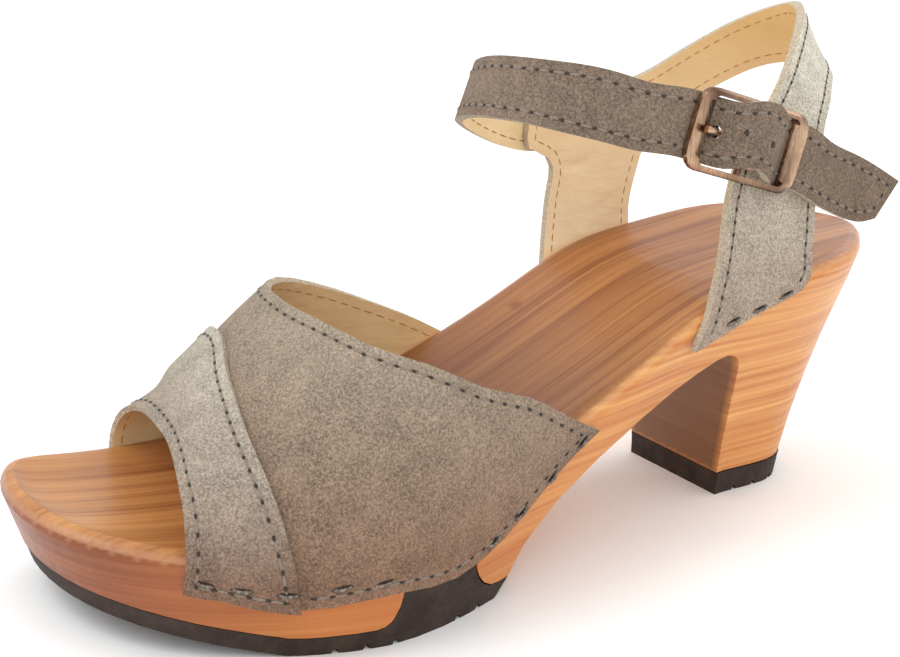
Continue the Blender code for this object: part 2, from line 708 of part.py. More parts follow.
def buckle_loop():
    """Leather loop round the centre bar, slotted for the prong."""
    path = smooth_curve(travelled(np.array(LOOP_PATH[1:])), np.array(LOOP_PATH[1:]))
    length = travelled(np.array(LOOP_PATH[1:]))[-1]
    grid = []
    for along, out in path(np.linspace(0, length, LOOP_STEPS)):
        ups = np.linspace(-LOOP_HALF_WIDTH, LOOP_HALF_WIDTH, 5)
        grid.append([buckle_place(along, up, out) for up in ups])
    loop = shell("buckle_loop", grid, LOOP_THICK)
    slot = cutter(block("cut_slot", LOOP_SLOT_ALONG, (-LOOP_SLOT / 2, LOOP_SLOT / 2), LOOP_SLOT_OUT))
    return boolean(loop, "DIFFERENCE", slot)


def block(name, along, up, out):
    """Box in the buckle's axes between the given limits."""
    mesh = bmesh.new()
    ends = [[mesh.verts.new(buckle_place(a, u, o)) for u, o in
             ((up[0], out[0]), (up[1], out[0]), (up[1], out[1]), (up[0], out[1]))] for a in along]
    for i in range(4):
        k = (i + 1) % 4
        mesh.faces.new((ends[0][i], ends[0][k], ends[1][k], ends[1][i]))
    mesh.faces.new(ends[0])
    mesh.faces.new(ends[1])
    return finish(name, mesh, merge=0.001)


def buckle_prong():
    """Bent prong: it leaves the centre bar, passes the strap and rests on the front bar."""
    points = [buckle_place(along, 0.0, out) for along, out in PRONG_PATH[1:]]
    along = travelled(np.array(points))
    line = smooth_curve(along, np.array(points))(np.linspace(0, along[-1], 15))
    return rod("buckle_prong", line, PRONG / 2)


def rounded_rectangle(length, height, corner, per_corner=5):
    """Points of a rounded rectangle, one list round."""
    points = []
    for k, (sx, sy) in enumerate(((1, 1), (-1, 1), (-1, -1), (1, -1))):
        for i in range(per_corner):
            turn = (k + i / (per_corner - 1)) * pi / 2
            points.append((sx * (length / 2 - corner) + corner * cos(turn),
                           sy * (height / 2 - corner) + corner * sin(turn)))
    return points


def buckle_frame():
    """Flat rounded frame with a centre bar behind it, which the quarter's loop holds."""
    mesh = bmesh.new()
    outer = rounded_rectangle(BUCKLE_LENGTH, BUCKLE_HEIGHT, BUCKLE_CORNER)
    inner = rounded_rectangle(BUCKLE_LENGTH - 2 * END_BAR, BUCKLE_HEIGHT - 2 * SIDE_BAR,
                              BUCKLE_INNER_CORNER)
    half = BUCKLE_THICK / 2
    loops = []
    for line, out in ((outer, -half), (outer, half * 0.5), (inner, half), (inner, -half)):
        stretch = BUCKLE_LIP if out == half else 1.0
        loops.append([mesh.verts.new(buckle_place(a * stretch, u, out)) for a, u in line])
    count = len(outer)
    for k in range(4):
        first, second = loops[k], loops[(k + 1) % 4]
        for i in range(count):
            j = (i + 1) % count
            mesh.faces.new((first[i], first[j], second[j], second[i]))
    frame = finish("buckle_frame", mesh, merge=0.001)
    reach = BUCKLE_HEIGHT / 2 - SIDE_BAR / 2
    line = [buckle_place(0.0, up, CENTRE_BAR_OUT) for up in np.linspace(-reach, reach, 4)]
    return boolean(frame, "UNION", cutter(rod("form_centre_bar", line, CENTRE_BAR / 2)))


def rod(name, points, radius, sides=8):
    """Closed round rod through a list of points."""
    points = np.asarray(points, float)
    mesh = bmesh.new()
    rings = []
    ahead = np.gradient(points, axis=0)
    for point, along in zip(points, ahead):
        along /= np.linalg.norm(along)
        side = np.cross(along, (0.31, 0.17, 0.93))
        side /= np.linalg.norm(side)
        up = np.cross(side, along)
        turns = [2 * pi * i / sides for i in range(sides)]
        rings.append([mesh.verts.new(point + (side * cos(t) + up * sin(t)) * radius) for t in turns])
    for first, second in zip(rings, rings[1:]):
        for i in range(sides):
            j = (i + 1) % sides
            mesh.faces.new((first[i], first[j], second[j], second[i]))
    mesh.faces.new(rings[0])
    mesh.faces.new(rings[-1])
    return finish(name, mesh, merge=0.001)


def main():
    for old in list(bpy.data.objects):
        bpy.data.objects.remove(old)
    material(wood_sole(), "alder wood", (0.52, 0.24, 0.10), 0.42)
    material(forefoot_tread(), "dark rubber", (0.06, 0.035, 0.028), 0.8)
    material(heel_lift(), "dark lift rubber", (0.05, 0.03, 0.025), 0.8)
    material(vamp_rear_panel(), "taupe suede", (0.30, 0.24, 0.20), 0.95)
    material(vamp_front_strip(), "taupe suede strip", (0.32, 0.26, 0.22), 0.95)
    material(heel_sling(), "taupe suede sling", (0.30, 0.24, 0.20), 0.95)
    material(ankle_strap(), "taupe suede strap", (0.28, 0.22, 0.18), 0.95)
    material(buckle_loop(), "beige loop leather", (0.55, 0.38, 0.30), 0.8)
    material(buckle_prong(), "antique copper prong", (0.20, 0.12, 0.10), 0.35, 1.0)
    material(buckle_frame(), "antique copper", (0.42, 0.22, 0.15), 0.35, 1.0)


main()
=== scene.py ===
"""Looks of a heeled peep-toe sandal: a carved wooden sole, a stapled suede upper and a buckled ankle strap.

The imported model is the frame, in metres: toe at -Y, heel at +Y, outer side of the foot at +X.
"""

import math

import bmesh
import bpy
from bpy.props import FloatProperty, FloatVectorProperty, IntProperty, PointerProperty
from mathutils import Matrix, Vector
from mathutils.bvhtree import BVHTree
from mathutils.kdtree import KDTree


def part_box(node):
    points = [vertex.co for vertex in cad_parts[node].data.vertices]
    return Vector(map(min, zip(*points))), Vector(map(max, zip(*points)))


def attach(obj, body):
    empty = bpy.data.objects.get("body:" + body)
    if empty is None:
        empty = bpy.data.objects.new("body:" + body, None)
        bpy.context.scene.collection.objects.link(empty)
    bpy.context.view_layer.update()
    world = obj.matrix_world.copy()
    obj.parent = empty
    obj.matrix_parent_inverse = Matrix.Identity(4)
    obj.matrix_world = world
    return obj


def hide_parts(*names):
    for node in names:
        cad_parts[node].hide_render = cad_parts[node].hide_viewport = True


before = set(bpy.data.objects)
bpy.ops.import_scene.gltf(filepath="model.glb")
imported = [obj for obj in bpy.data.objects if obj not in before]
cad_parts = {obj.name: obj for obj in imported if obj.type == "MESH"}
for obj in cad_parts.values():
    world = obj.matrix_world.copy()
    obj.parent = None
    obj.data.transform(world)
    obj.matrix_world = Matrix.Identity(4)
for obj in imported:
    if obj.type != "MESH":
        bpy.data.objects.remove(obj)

bl_info = {
    "name": "Wooden Sole Sandal",
    "version": (1, 0, 0),
    "blender": (4, 5, 0),
    "location": "3D View > Sidebar > Sandal",
    "description": "Builds the looks of a heeled sandal with a carved wooden sole and a stapled suede upper",
    "category": "Object",
}

MM = 0.001
BODY = "root"

# The camera that fits the photograph, in the row frame: place, turn, tilt and roll.
CAMERA_PLACE = Vector((0.30100, -0.22114, 0.16967))
CAMERA_TURN = 0.97516
CAMERA_TILT = 0.30254
CAMERA_ROLL = 0.03707
CAMERA_LENS = 60.5025
SENSOR_WIDTH = 36.0
PHOTO_WIDTH = 900
PHOTO_HEIGHT = 657

# Staples on the outer side, each by the two ends of its crown in pixels of the photograph.
VAMP_STAPLES = [
    ((197, 583), (212, 587)), ((234, 590), (250, 592)), ((280, 596), (297, 596)),
    ((335, 591), (351, 587)), ((378, 586), (393, 581)), ((488, 548), (500, 536)),
    ((516, 520), (527, 507)), ((547, 485), (557, 471)), ((578, 449), (588, 436)),
]
QUARTER_STAPLES = [
    ((698, 341), (713, 334)), ((726, 326), (742, 317)), ((752, 313), (768, 305)), ((779, 299), (794, 291)),
]
# Punched holes of the strap, and the knot in the footbed, in pixels of the photograph.
STRAP_HOLES = [(747.7, 132.8), (772.7, 145.1)]
KNOT = (515, 305)
# Strap just above and just below the hole that the prong goes through.
PRONG_HOLE_RIMS = ((716, 114), (712, 148))

# Creases pressed into the leather: node, pixels of the two ends, width and depth in mm.
CREASES = [
    ("vamp_rear_panel", (300, 370), (420, 420), 5.0, 0.30),
    ("vamp_rear_panel", (330, 420), (470, 455), 6.0, 0.25),
    ("vamp_rear_panel", (420, 440), (560, 450), 5.0, 0.22),
    ("heel_sling", (563, 167), (590, 163), 3.5, 0.45),
    ("heel_sling", (588, 214), (622, 191), 3.0, 0.30),
    ("ankle_strap", (480, 70), (492, 104), 4.0, 0.25),
    ("vamp_front_strip", (175, 440), (215, 500), 4.0, 0.25),
]

# Suede at the foot and at the top of each leather piece with those two heights in metres, and its lining at
# the foot and at the top: the change from foot to top is painted light and shade.
LEATHERS = {
    "vamp_rear_panel": (("#866A57", "#9A9080", (0.020, 0.080)), ("#D9B67F", "#F1D6A6")),
    "vamp_front_strip": (("#7B6050", "#ADA698", (0.020, 0.058)), ("#F0D9A8", "#F0D9A8")),
    "heel_sling": (("#A19181", "#CBC6B6", (0.065, 0.125)), ("#FFF0CC", "#DDB981")),
    "ankle_strap": (("#776657", "#7D6D5F", (0.080, 0.115)), ("#F6E0B2", "#F6E0B2")),
}

# Longest edges of the worked meshes in mm, and the turns in degrees at which an edge stays sharp.
LEATHER_EDGE = 2.6
SOLE_EDGE = 2.5
SHARP_TURNS = {"wood": 32, "rubber": 30, "leather": 40, "plating": 78}
# CAD corners closer than this are one corner.
MERGE_DISTANCE = 0.002 * MM

# A leather wall is split where it turns by more degrees, and a part with this share of it is a sheet.
SHEET_TURN = 38
SHEET_SHARE = 0.12
# The foot's middle under the vamp across and in height, and the ankle's middle along the foot.
FOOT_MIDDLE = (0.002, 0.020)
ANKLE_MIDDLE = 0.058
# How far a crease runs past its ends, how it fades to them and how much of its width is the hollow.
CREASE_OVERRUN = 0.2
CREASE_FADE = 3.2
CREASE_HOLLOW = 0.45

# Seams follow rims longer than this, sampled this finely, where they keep this share of the inset.
SHORTEST_RIM = 60 * MM
RIM_SPACING = 1.0 * MM
INSET_SHARE = 0.93
WIDEST_GAP = 3.0 * MM
FEWEST_POINTS = 6
# The quarters have no seam on their hems, which lie this low and this level, and their stitches are finer.
HEM_HEIGHT = 0.075
HEM_SLOPE = 0.62
SLING_PITCH = 0.8
# The rear panel's seam ends this far from the strip that laps over it.
LAP_MARGIN = 3.2 * MM
# Thread of the lining, as a share of the outer thread's width, and the pressed line under a seam, whose
# darker suede is painted shade.
LINING_THREAD = 0.6
SEAM_WIDTH = 0.65 * MM
SEAM_LIFT = 0.04 * MM
SEAM_SHADE = 0.72

# Heights in mm of the ends of a staple's crown and of the handles that bend it.
CROWN_RISES = (-1.4, 1.05)
# Painted shade: heights of the shadow under a staple and of the shade in a punched hole, and width, height
# and depth of the shade in the prong's hole.
STAPLE_SHADOW_HEIGHT = 0.30 * MM
STRAP_HOLE_HEIGHT = 0.3 * MM
PRONG_HOLE = (4.4 * MM, 0.8 * MM, 0.9 * MM)
# A ray for the staples of the inner side starts here, beyond the shoe.
INNER_START = -0.12

# Shares of the width: a needle hole's length and height, and a thread's height and depth in the leather.
HOLE_SHAPE = (1.5, 0.6)
THREAD_SHAPE = (0.8, 0.1)
# The painted shadow under a staple: its length and width, as shares of the staple's.
STAPLE_SHADOW_SHAPE = (1.15, 1.7)
# How far a staple's crown stands off, and how much like pieces differ in length.
CROWN_LIFT = 0.1 * MM
JITTER = {"hole": 0.2, "stitch": 0.14, "staple": 0.05}

# Where the sole is footbed and where its rounded edge gets a painted highlight, by the upward part of its
# normal.
FOOTBED_NORMAL = (0.45, 0.97)
EDGE_BEGINS = (0.25, 0.5)
EDGE_ENDS = (0.85, 0.6)
# The knot fades over these distances. The heel's breast faces forward behind the arch, and is darkened with
# painted shade.
KNOT_FADE = (2.6 * MM, 0.6 * MM)
BREAST_NORMAL = (0.6, 0.9)
BREAST_PLACE = (0.03, 0.04)
# The frame's side bars get this much painted shade, that far from the frame's ends; the prong gets none.
SIDE_BAR_SHADE = 0.75
SIDE_BAR_SHADE_REACH = {"buckle_frame": (4.2 * MM, 7.0 * MM), "buckle_prong": (0.6, 1.0)}

# Soft lights: name, place in metres, size and share of the key light's power.
LIGHTS = (
    ("key", (-0.35, -0.75, 1.05), 0.9, 1.0),
    ("fill", (1.0, -0.35, 0.75), 0.8, 0.35),
    ("back", (-0.2, 0.95, 0.8), 0.8, 0.45),
)
LIGHTS_AIM = (0.0, 0.0, 0.05)
FLOOR_SIZE = 12.0


def linear(code):
    """Turns an sRGB hex code into a linear colour with alpha."""
    channels = [int(code[i:i + 2], 16) / 255 for i in (1, 3, 5)]
    return tuple(c / 12.92 if c <= 0.04045 else ((c + 0.055) / 1.055) ** 2.4 for c in channels) + (1.0,)


def per_mm(period):
    """Scale of a texture in metres whose pattern repeats about every period millimetres."""
    return 1.0 / (period * MM)


def give(tree, socket, value):
    """Sets an input to a value, or links it to an output or to a node's first output that is on."""
    if isinstance(value, bpy.types.Node):
        value = next(output for output in value.outputs if output.enabled)
    if isinstance(value, bpy.types.NodeSocket):
        tree.links.new(value, socket)
    else:
        socket.default_value = value


def add(tree, kind, inputs=(), **settings):
    """Adds one node: its settings are attributes, and its inputs are named, or given in their order."""
    made = tree.nodes.new(kind)
    for name, value in settings.items():
        setattr(made, name, value)
    if isinstance(inputs, dict):
        for name, value in inputs.items():
            give(tree, made.inputs[name], value)
    else:
        for socket, value in zip([s for s in made.inputs if s.enabled], inputs):
            give(tree, socket, value)
    return made


def start_material(name):
    """A new material with a Principled shader, and the object's own coordinates."""
    material = bpy.data.materials.new(name)
    material.use_nodes = True
    tree = material.node_tree
    tree.nodes.clear()
    shader = add(tree, "ShaderNodeBsdfPrincipled")
    add(tree, "ShaderNodeOutputMaterial", {"Surface": shader})
    place = add(tree, "ShaderNodeTexCoord").outputs["Object"]
    return material, tree, shader, place


def lengthwise(tree, place, periods, detail):
    """A noise drawn out along the axes, with its own period in millimetres along each."""
    drawn_out = add(tree, "ShaderNodeMapping", {"Vector": place, "Scale": [per_mm(p) for p in periods]})
    return add(tree, "ShaderNodeTexNoise", {"Vector": drawn_out, "Scale": 1.0, "Detail": detail,
                                            "Distortion": 0.15})


def wire(tree, shader, **sockets):
    """Sets or links inputs of the shader, by socket name with underscores for spaces."""
    for name, value in sockets.items():
        give(tree, shader.inputs[name.replace("_", " ")], value)


def suede(name, low, high, span, settings):
    """Napped suede: brushed clouds, a mottled nap, short fibres, and painted light that lightens it up the
    piece.
    """
    material, tree, shader, place = start_material(name)
    rise = add(tree, "ShaderNodeSeparateXYZ", {0: place}).outputs["Z"]
    # Painted light: the colour goes from the foot's to the top's, lighter up the piece.
    painted_light_share = add(tree, "ShaderNodeMapRange", (rise, span[0], span[1]))
    base = add(tree, "ShaderNodeMix", (painted_light_share, linear(low), linear(high)), data_type="RGBA")
    parts = []
    for period, detail, rough, start, end in ((24.0, 2.0, 0.5, 0.38, 0.62), (6.0, 4.0, 0.62, 0.38, 0.62),
                                              (0.9, 3.0, 0.8, 0.40, 0.60), (0.55, 2.0, 0.8, 0.40, 0.60)):
        noise = add(tree, "ShaderNodeTexNoise", (place, per_mm(period), detail, rough))
        parts.append(add(tree, "ShaderNodeMapRange", (noise, start, end)))
    broad, cloud, nap, fibre = parts
    value = add(tree, "ShaderNodeMath", (broad, 0.10), operation="MULTIPLY")
    for part, share in ((cloud, 0.14), (nap, 0.26), (fibre, 0.50)):
        amount = add(tree, "ShaderNodeMath", (part, share), operation="MULTIPLY")
        value = add(tree, "ShaderNodeMath", (value, amount), operation="ADD")
    centred = add(tree, "ShaderNodeMath", (value, 0.5), operation="SUBTRACT")
    spread = add(tree, "ShaderNodeMath", (centred, settings.nap_contrast), operation="MULTIPLY")
    factor = add(tree, "ShaderNodeMath", (spread, 1.0), operation="ADD")
    shade = add(tree, "ShaderNodeVectorMath", {"Vector": base, "Scale": factor}, operation="SCALE")
    height = add(tree, "ShaderNodeMath", (nap, fibre), operation="ADD")
    bumps = add(tree, "ShaderNodeBump", {"Height": height, "Distance": 0.08 * MM})
    wire(tree, shader, Base_Color=shade, Roughness=0.95, Specular_IOR_Level=0.15, Sheen_Weight=0.25,
         Sheen_Roughness=0.5, Sheen_Tint=linear(high), Normal=bumps)
    return material


def lining(name, low, high, span):
    """Smooth lining leather: a fine pebbled grain, faint wrinkles, uneven dye, and painted light and shade
    that change its tone from the foot to the top.
    """
    material, tree, shader, place = start_material(name)
    rise = add(tree, "ShaderNodeSeparateXYZ", {0: place}).outputs["Z"]
    painted_light_share = add(tree, "ShaderNodeMapRange", (rise, span[0], span[1]))
    # Painted light and shade: the colour goes from the foot's to the top's.
    base = add(tree, "ShaderNodeMix", (painted_light_share, linear(low), linear(high)), data_type="RGBA")
    noise = add(tree, "ShaderNodeTexNoise", (place, per_mm(14.0), 3.0))
    cloud = add(tree, "ShaderNodeMapRange", (noise, 0.35, 0.75))
    worn = add(tree, "ShaderNodeMix", (0.4, base, linear("#B98F55")), data_type="RGBA")
    amount = add(tree, "ShaderNodeMath", (cloud, 0.4), operation="MULTIPLY")
    colour = add(tree, "ShaderNodeMix", (amount, base, worn), data_type="RGBA")
    grain = add(tree, "ShaderNodeTexVoronoi", {"Vector": place, "Scale": per_mm(0.9)})
    fold_size = [per_mm(p) for p in (9.0, 9.0, 3.0)]
    drawn_out = add(tree, "ShaderNodeMapping", {"Vector": place, "Scale": fold_size})
    folds = add(tree, "ShaderNodeTexNoise", (drawn_out, 1.0, 3.0))
    wrinkle = add(tree, "ShaderNodeMapRange", (folds, 0.38, 0.62))
    pebbles = add(tree, "ShaderNodeMath", (grain, 0.2), operation="MULTIPLY")
    height = add(tree, "ShaderNodeMath", (pebbles, wrinkle), operation="ADD")
    bumps = add(tree, "ShaderNodeBump", {"Height": height, "Distance": 0.09 * MM})
    wire(tree, shader, Base_Color=colour, Roughness=0.52, Normal=bumps)
    return material


def cut_edge(name, code):
    """Cut edge of the leather: the pale lining side and the fuzzy suede side, layer on layer."""
    material, tree, shader, place = start_material(name)
    noise = add(tree, "ShaderNodeTexNoise", (place, per_mm(0.6), 3.0, 0.7))
    fuzz = add(tree, "ShaderNodeMapRange", (noise, 0.35, 0.65))
    colour = add(tree, "ShaderNodeMix", (fuzz, linear(code), linear("#D8C6A4")), data_type="RGBA")
    bumps = add(tree, "ShaderNodeBump", {"Height": fuzz, "Distance": 0.2 * MM})
    wire(tree, shader, Base_Color=colour, Roughness=0.95, Sheen_Weight=0.3, Normal=bumps)
    return material


def alder():
    """Varnished alder: long streaks along the sole, fine pores, a darker footbed, a painted highlight on the
    rounded edge, and painted shade on the toe's side and the heel's breast.
    """
    material, tree, shader, place = start_material("varnished alder")
    footbed = add(tree, "ShaderNodeAttribute", attribute_name="footbed").outputs["Fac"]
    on_side = add(tree, "ShaderNodeMath", (1.0, footbed), operation="SUBTRACT")
    streaks = []
    for wide, narrow, where in (((40.0, 150.0, 2.8), (60.0, 70.0, 0.9), on_side),
                                ((3.0, 150.0, 60.0), (0.9, 70.0, 60.0), footbed)):
        broad_lines = lengthwise(tree, place, wide, 1.5)
        fine_lines = lengthwise(tree, place, narrow, 1.5)
        broad_part = add(tree, "ShaderNodeMath", (broad_lines, 0.6), operation="MULTIPLY")
        fine_part = add(tree, "ShaderNodeMath", (fine_lines, 0.4), operation="MULTIPLY")
        both = add(tree, "ShaderNodeMath", (broad_part, fine_part), operation="ADD")
        streaks.append(add(tree, "ShaderNodeMath", (both, where), operation="MULTIPLY"))
    lines = add(tree, "ShaderNodeMath", streaks, operation="ADD")
    grain = add(tree, "ShaderNodeMapRange", (lines, 0.36, 0.64))
    broad = lengthwise(tree, place, (20.0, 120.0, 30.0), 2.0)
    toned = []
    for dark, pale, tone, share in (("#BF7034", "#E0A45C", "#C97B3C", 0.4),
                                    ("#7E4824", "#B47A45", "#995C33", 0.35)):
        streaked = add(tree, "ShaderNodeMix", (grain, linear(dark), linear(pale)), data_type="RGBA")
        amount = add(tree, "ShaderNodeMapRange", (broad, 0.35, 0.65, 0.0, share))
        toned.append(add(tree, "ShaderNodeMix", (amount, streaked, linear(tone)), data_type="RGBA"))
    side, bed = toned
    along = add(tree, "ShaderNodeSeparateXYZ", {0: place}).outputs["Y"]
    toe_light = add(tree, "ShaderNodeMapRange", (along, -0.085, -0.115, 0.0, 0.65))
    pale_toe = add(tree, "ShaderNodeMix", (grain, linear("#A86A30"), linear("#CC9050")), data_type="RGBA")
    bed = add(tree, "ShaderNodeMix", (toe_light, bed, pale_toe), data_type="RGBA")
    ball_front = add(tree, "ShaderNodeMapRange", (along, -0.075, -0.055))
    ball_rear = add(tree, "ShaderNodeMapRange", (along, 0.03, -0.01))
    ball = add(tree, "ShaderNodeMath", (ball_front, ball_rear), operation="MULTIPLY")
    ball_dark = add(tree, "ShaderNodeMath", (ball, 0.7), operation="MULTIPLY")
    bed = add(tree, "ShaderNodeMix", (ball_dark, bed, linear("#5A2E14")), data_type="RGBA")
    ball_side = add(tree, "ShaderNodeMapRange", (along, 0.0, -0.045, 0.0, 0.55))
    side = add(tree, "ShaderNodeMix", (ball_side, side, linear("#B05A1E")), data_type="RGBA")
    # Painted shade: the sole's side darkens towards the toe.
    toe_side_shade = add(tree, "ShaderNodeMapRange", (along, -0.075, -0.115, 0.0, 0.95))
    shaded_toe = add(tree, "ShaderNodeMix", (grain, linear("#743816"), linear("#94522C")), data_type="RGBA")
    side = add(tree, "ShaderNodeMix", (toe_side_shade, side, shaded_toe), data_type="RGBA")
    wood = add(tree, "ShaderNodeMix", (footbed, side, bed), data_type="RGBA")
    # The rounded edge gets a painted highlight, the knot its own dark colour, and the heel's breast painted
    # shade.
    for mark, share, code in (("edge_highlight", 0.25, "#E9BE93"), ("knot", 0.75, "#6E3520"),
                              ("breast_shade", 0.85, "#66452B")):
        marked = add(tree, "ShaderNodeAttribute", attribute_name=mark).outputs["Fac"]
        amount = add(tree, "ShaderNodeMath", (marked, share), operation="MULTIPLY")
        wood = add(tree, "ShaderNodeMix", (amount, wood, linear(code)), data_type="RGBA")
    pore_size = [per_mm(p) for p in (0.7, 7.0, 0.7)]
    drawn_out = add(tree, "ShaderNodeMapping", {"Vector": place, "Scale": pore_size})
    pores = add(tree, "ShaderNodeTexVoronoi", {"Vector": drawn_out, "Scale": 1.0})
    pore = add(tree, "ShaderNodeMapRange", (pores, 0.16, 0.05, 0.0, 0.35))
    wood = add(tree, "ShaderNodeMix", (pore, wood, linear("#6B3D24")), data_type="RGBA")
    fine = lengthwise(tree, place, (0.7, 24.0, 3.0), 2.0)
    raised = add(tree, "ShaderNodeMath", (fine, 0.6), operation="MULTIPLY")
    relief = add(tree, "ShaderNodeMath", (raised, pore), operation="SUBTRACT")
    gloss = add(tree, "ShaderNodeMapRange", (fine, 0.3, 0.7, 0.34, 0.46))
    bumps = add(tree, "ShaderNodeBump", {"Height": relief, "Distance": 0.05 * MM})
    wire(tree, shader, Base_Color=wood, Roughness=gloss, Specular_IOR_Level=0.4, Coat_Weight=0.12,
         Coat_Roughness=0.22, Normal=bumps)
    return material


def rubber():
    """Moulded brown rubber of the tread and the heel lift, matt and a little dusty."""
    material, tree, shader, place = start_material("moulded brown rubber")
    noise = add(tree, "ShaderNodeTexNoise", (place, per_mm(7.0), 4.0, 0.65))
    dust = add(tree, "ShaderNodeMapRange", (noise, 0.4, 0.75))
    amount = add(tree, "ShaderNodeMath", (dust, 0.5), operation="MULTIPLY")
    colour = add(tree, "ShaderNodeMix", (amount, linear("#2C1F19"), linear("#54443A")), data_type="RGBA")
    pebble = add(tree, "ShaderNodeTexNoise", (place, per_mm(0.7), 2.0))
    gloss = add(tree, "ShaderNodeMapRange", (pebble, 0.3, 0.7, 0.62, 0.82))
    bumps = add(tree, "ShaderNodeBump", {"Height": pebble, "Distance": 0.07 * MM})
    wire(tree, shader, Base_Color=colour, Roughness=gloss, Specular_IOR_Level=0.35, Normal=bumps)
    return material


def copper():
    """Antiqued copper plating on brass: brushed and tarnished, with painted shade on the frame's side bars.
    """
    material, tree, shader, place = start_material("antiqued copper plating")
    brushed = lengthwise(tree, place, (0.5, 0.5, 7.0), 3.0)
    lines = add(tree, "ShaderNodeMapRange", (brushed, 0.35, 0.65))
    bright = add(tree, "ShaderNodeMix", (lines, linear("#AE8A6E"), linear("#CDAE92")), data_type="RGBA")
    noise = add(tree, "ShaderNodeTexNoise", (place, per_mm(9.0), 3.0, 0.55))
    tarnish = add(tree, "ShaderNodeMapRange", (noise, 0.42, 0.62))
    amount = add(tree, "ShaderNodeMath", (tarnish, 0.45), operation="MULTIPLY")
    colour = add(tree, "ShaderNodeMix", (amount, bright, linear("#7A5A44")), data_type="RGBA")
    # Painted shade on the frame's side bars.
    side_bar_shade = add(tree, "ShaderNodeAttribute", attribute_name="side_bar_shade").outputs["Fac"]
    colour = add(tree, "ShaderNodeMix", (side_bar_shade, colour, linear("#4A3128")), data_type="RGBA")
    gloss = add(tree, "ShaderNodeMapRange", (brushed, 0.3, 0.7, 0.20, 0.32))
    bumps = add(tree, "ShaderNodeBump", {"Height": brushed, "Distance": 0.02 * MM})
    wire(tree, shader, Base_Color=colour, Metallic=1.0, Roughness=gloss, Normal=bumps)
    return material


def thread(name, colour):
    """Waxed sewing thread: plies that run round the stitch, with a dull sheen."""
    material, tree, shader, place = start_material(name)
    plies = add(tree, "ShaderNodeTexNoise", (place, per_mm(0.25), 1.0))
    base = tuple(colour[:3]) + (1.0,)
    pale = tuple(min(1.0, c * 1.8) for c in base[:3]) + (1.0,)
    raised = add(tree, "ShaderNodeMapRange", (plies, 0.4, 0.8))
    both = add(tree, "ShaderNodeMix", (raised, base, pale), data_type="RGBA")
    bumps = add(tree, "ShaderNodeBump", {"Height": plies, "Distance": 0.05 * MM})
    wire(tree, shader, Base_Color=both, Roughness=0.7, Normal=bumps)
    return material


def painted_shade_thread():
    """Dark waxed thread of painted shade: the needle holes, the shadows under the staples, the strap's holes
    and the prong's hole.
    """
    return material_of("painted shade thread", thread, "dark waxed thread", linear("#2A211C"))


def staple_steel():
    """Blued steel wire of the staples, scuffed where it was driven in."""
    material, tree, shader, place = start_material("blued staple steel")
    noise = add(tree, "ShaderNodeTexNoise", (place, per_mm(0.8), 3.0))
    scuffs = add(tree, "ShaderNodeMapRange", (noise, 0.45, 0.7))
    colour = add(tree, "ShaderNodeMix", (scuffs, linear("#665B53"), linear("#A19487")), data_type="RGBA")
    gloss = add(tree, "ShaderNodeMapRange", (scuffs, 0.0, 1.0, 0.34, 0.55))
    bumps = add(tree, "ShaderNodeBump", {"Height": scuffs, "Distance": 0.03 * MM})
    wire(tree, shader, Base_Color=colour, Metallic=0.85, Roughness=gloss, Normal=bumps)
    return material


def loop_leather():
    """Bare vegetable-tanned leather of the buckle's loop: smooth, pinkish, with fine pores."""
    material, tree, shader, place = start_material("bare loop leather")
    noise = add(tree, "ShaderNodeTexNoise", (place, per_mm(5.0), 3.0))
    cloud = add(tree, "ShaderNodeMapRange", (noise, 0.35, 0.7))
    colour = add(tree, "ShaderNodeMix", (cloud, linear("#D3AF96"), linear("#B98F77")), data_type="RGBA")
    pores = add(tree, "ShaderNodeTexVoronoi", {"Vector": place, "Scale": per_mm(0.5)})
    bumps = add(tree, "ShaderNodeBump", {"Height": pores, "Distance": 0.04 * MM})
    wire(tree, shader, Base_Color=colour, Roughness=0.6, Normal=bumps)
    return material


def floor_paint():
    """Matt white studio floor with a trace of unevenness."""
    material, tree, shader, place = start_material("matt studio floor")
    cloud = add(tree, "ShaderNodeTexNoise", (place, per_mm(300.0), 2.0))
    colour = add(tree, "ShaderNodeMix", (cloud, linear("#FBFBFA"), linear("#FFFFFF")), data_type="RGBA")
    wire(tree, shader, Base_Color=colour, Roughness=0.9, Specular_IOR_Level=0.1)
    return material


MADE = {}


def material_of(name, maker, *values):
    """The material of that name, made once."""
    if name not in MADE:
        MADE[name] = maker(*values)
    return MADE[name]


def camera_axes():
    """Right, up and backward of the camera that fits the photograph."""
    a, e, r = CAMERA_TURN, CAMERA_TILT, CAMERA_ROLL
    back = Vector((math.sin(a) * math.cos(e), -math.cos(a) * math.cos(e), math.sin(e)))
    level = Vector((math.cos(a), math.sin(a), 0.0))
    rise = back.cross(level)
    right = level * math.cos(r) + rise * math.sin(r)
    up = rise * math.cos(r) - level * math.sin(r)
    return right, up, back


def pixel_ray(pixel):
    """Direction from the camera through a pixel of the photograph."""
    right, up, back = camera_axes()
    focal = CAMERA_LENS / SENSOR_WIDTH * PHOTO_WIDTH
    across = (pixel[0] - PHOTO_WIDTH / 2) / focal
    down = (pixel[1] - PHOTO_HEIGHT / 2) / focal
    return (right * across - up * down - back).normalized()


def seen(tree, pixel):
    """Point and normal of the surface that the camera sees at a pixel."""
    point, normal = tree.ray_cast(CAMERA_PLACE, pixel_ray(pixel))[:2]
    if point is None:
        raise RuntimeError("no surface at pixel %s" % (pixel,))
    if normal.dot(CAMERA_PLACE - point) < 0:
        normal = -normal
    return point, normal


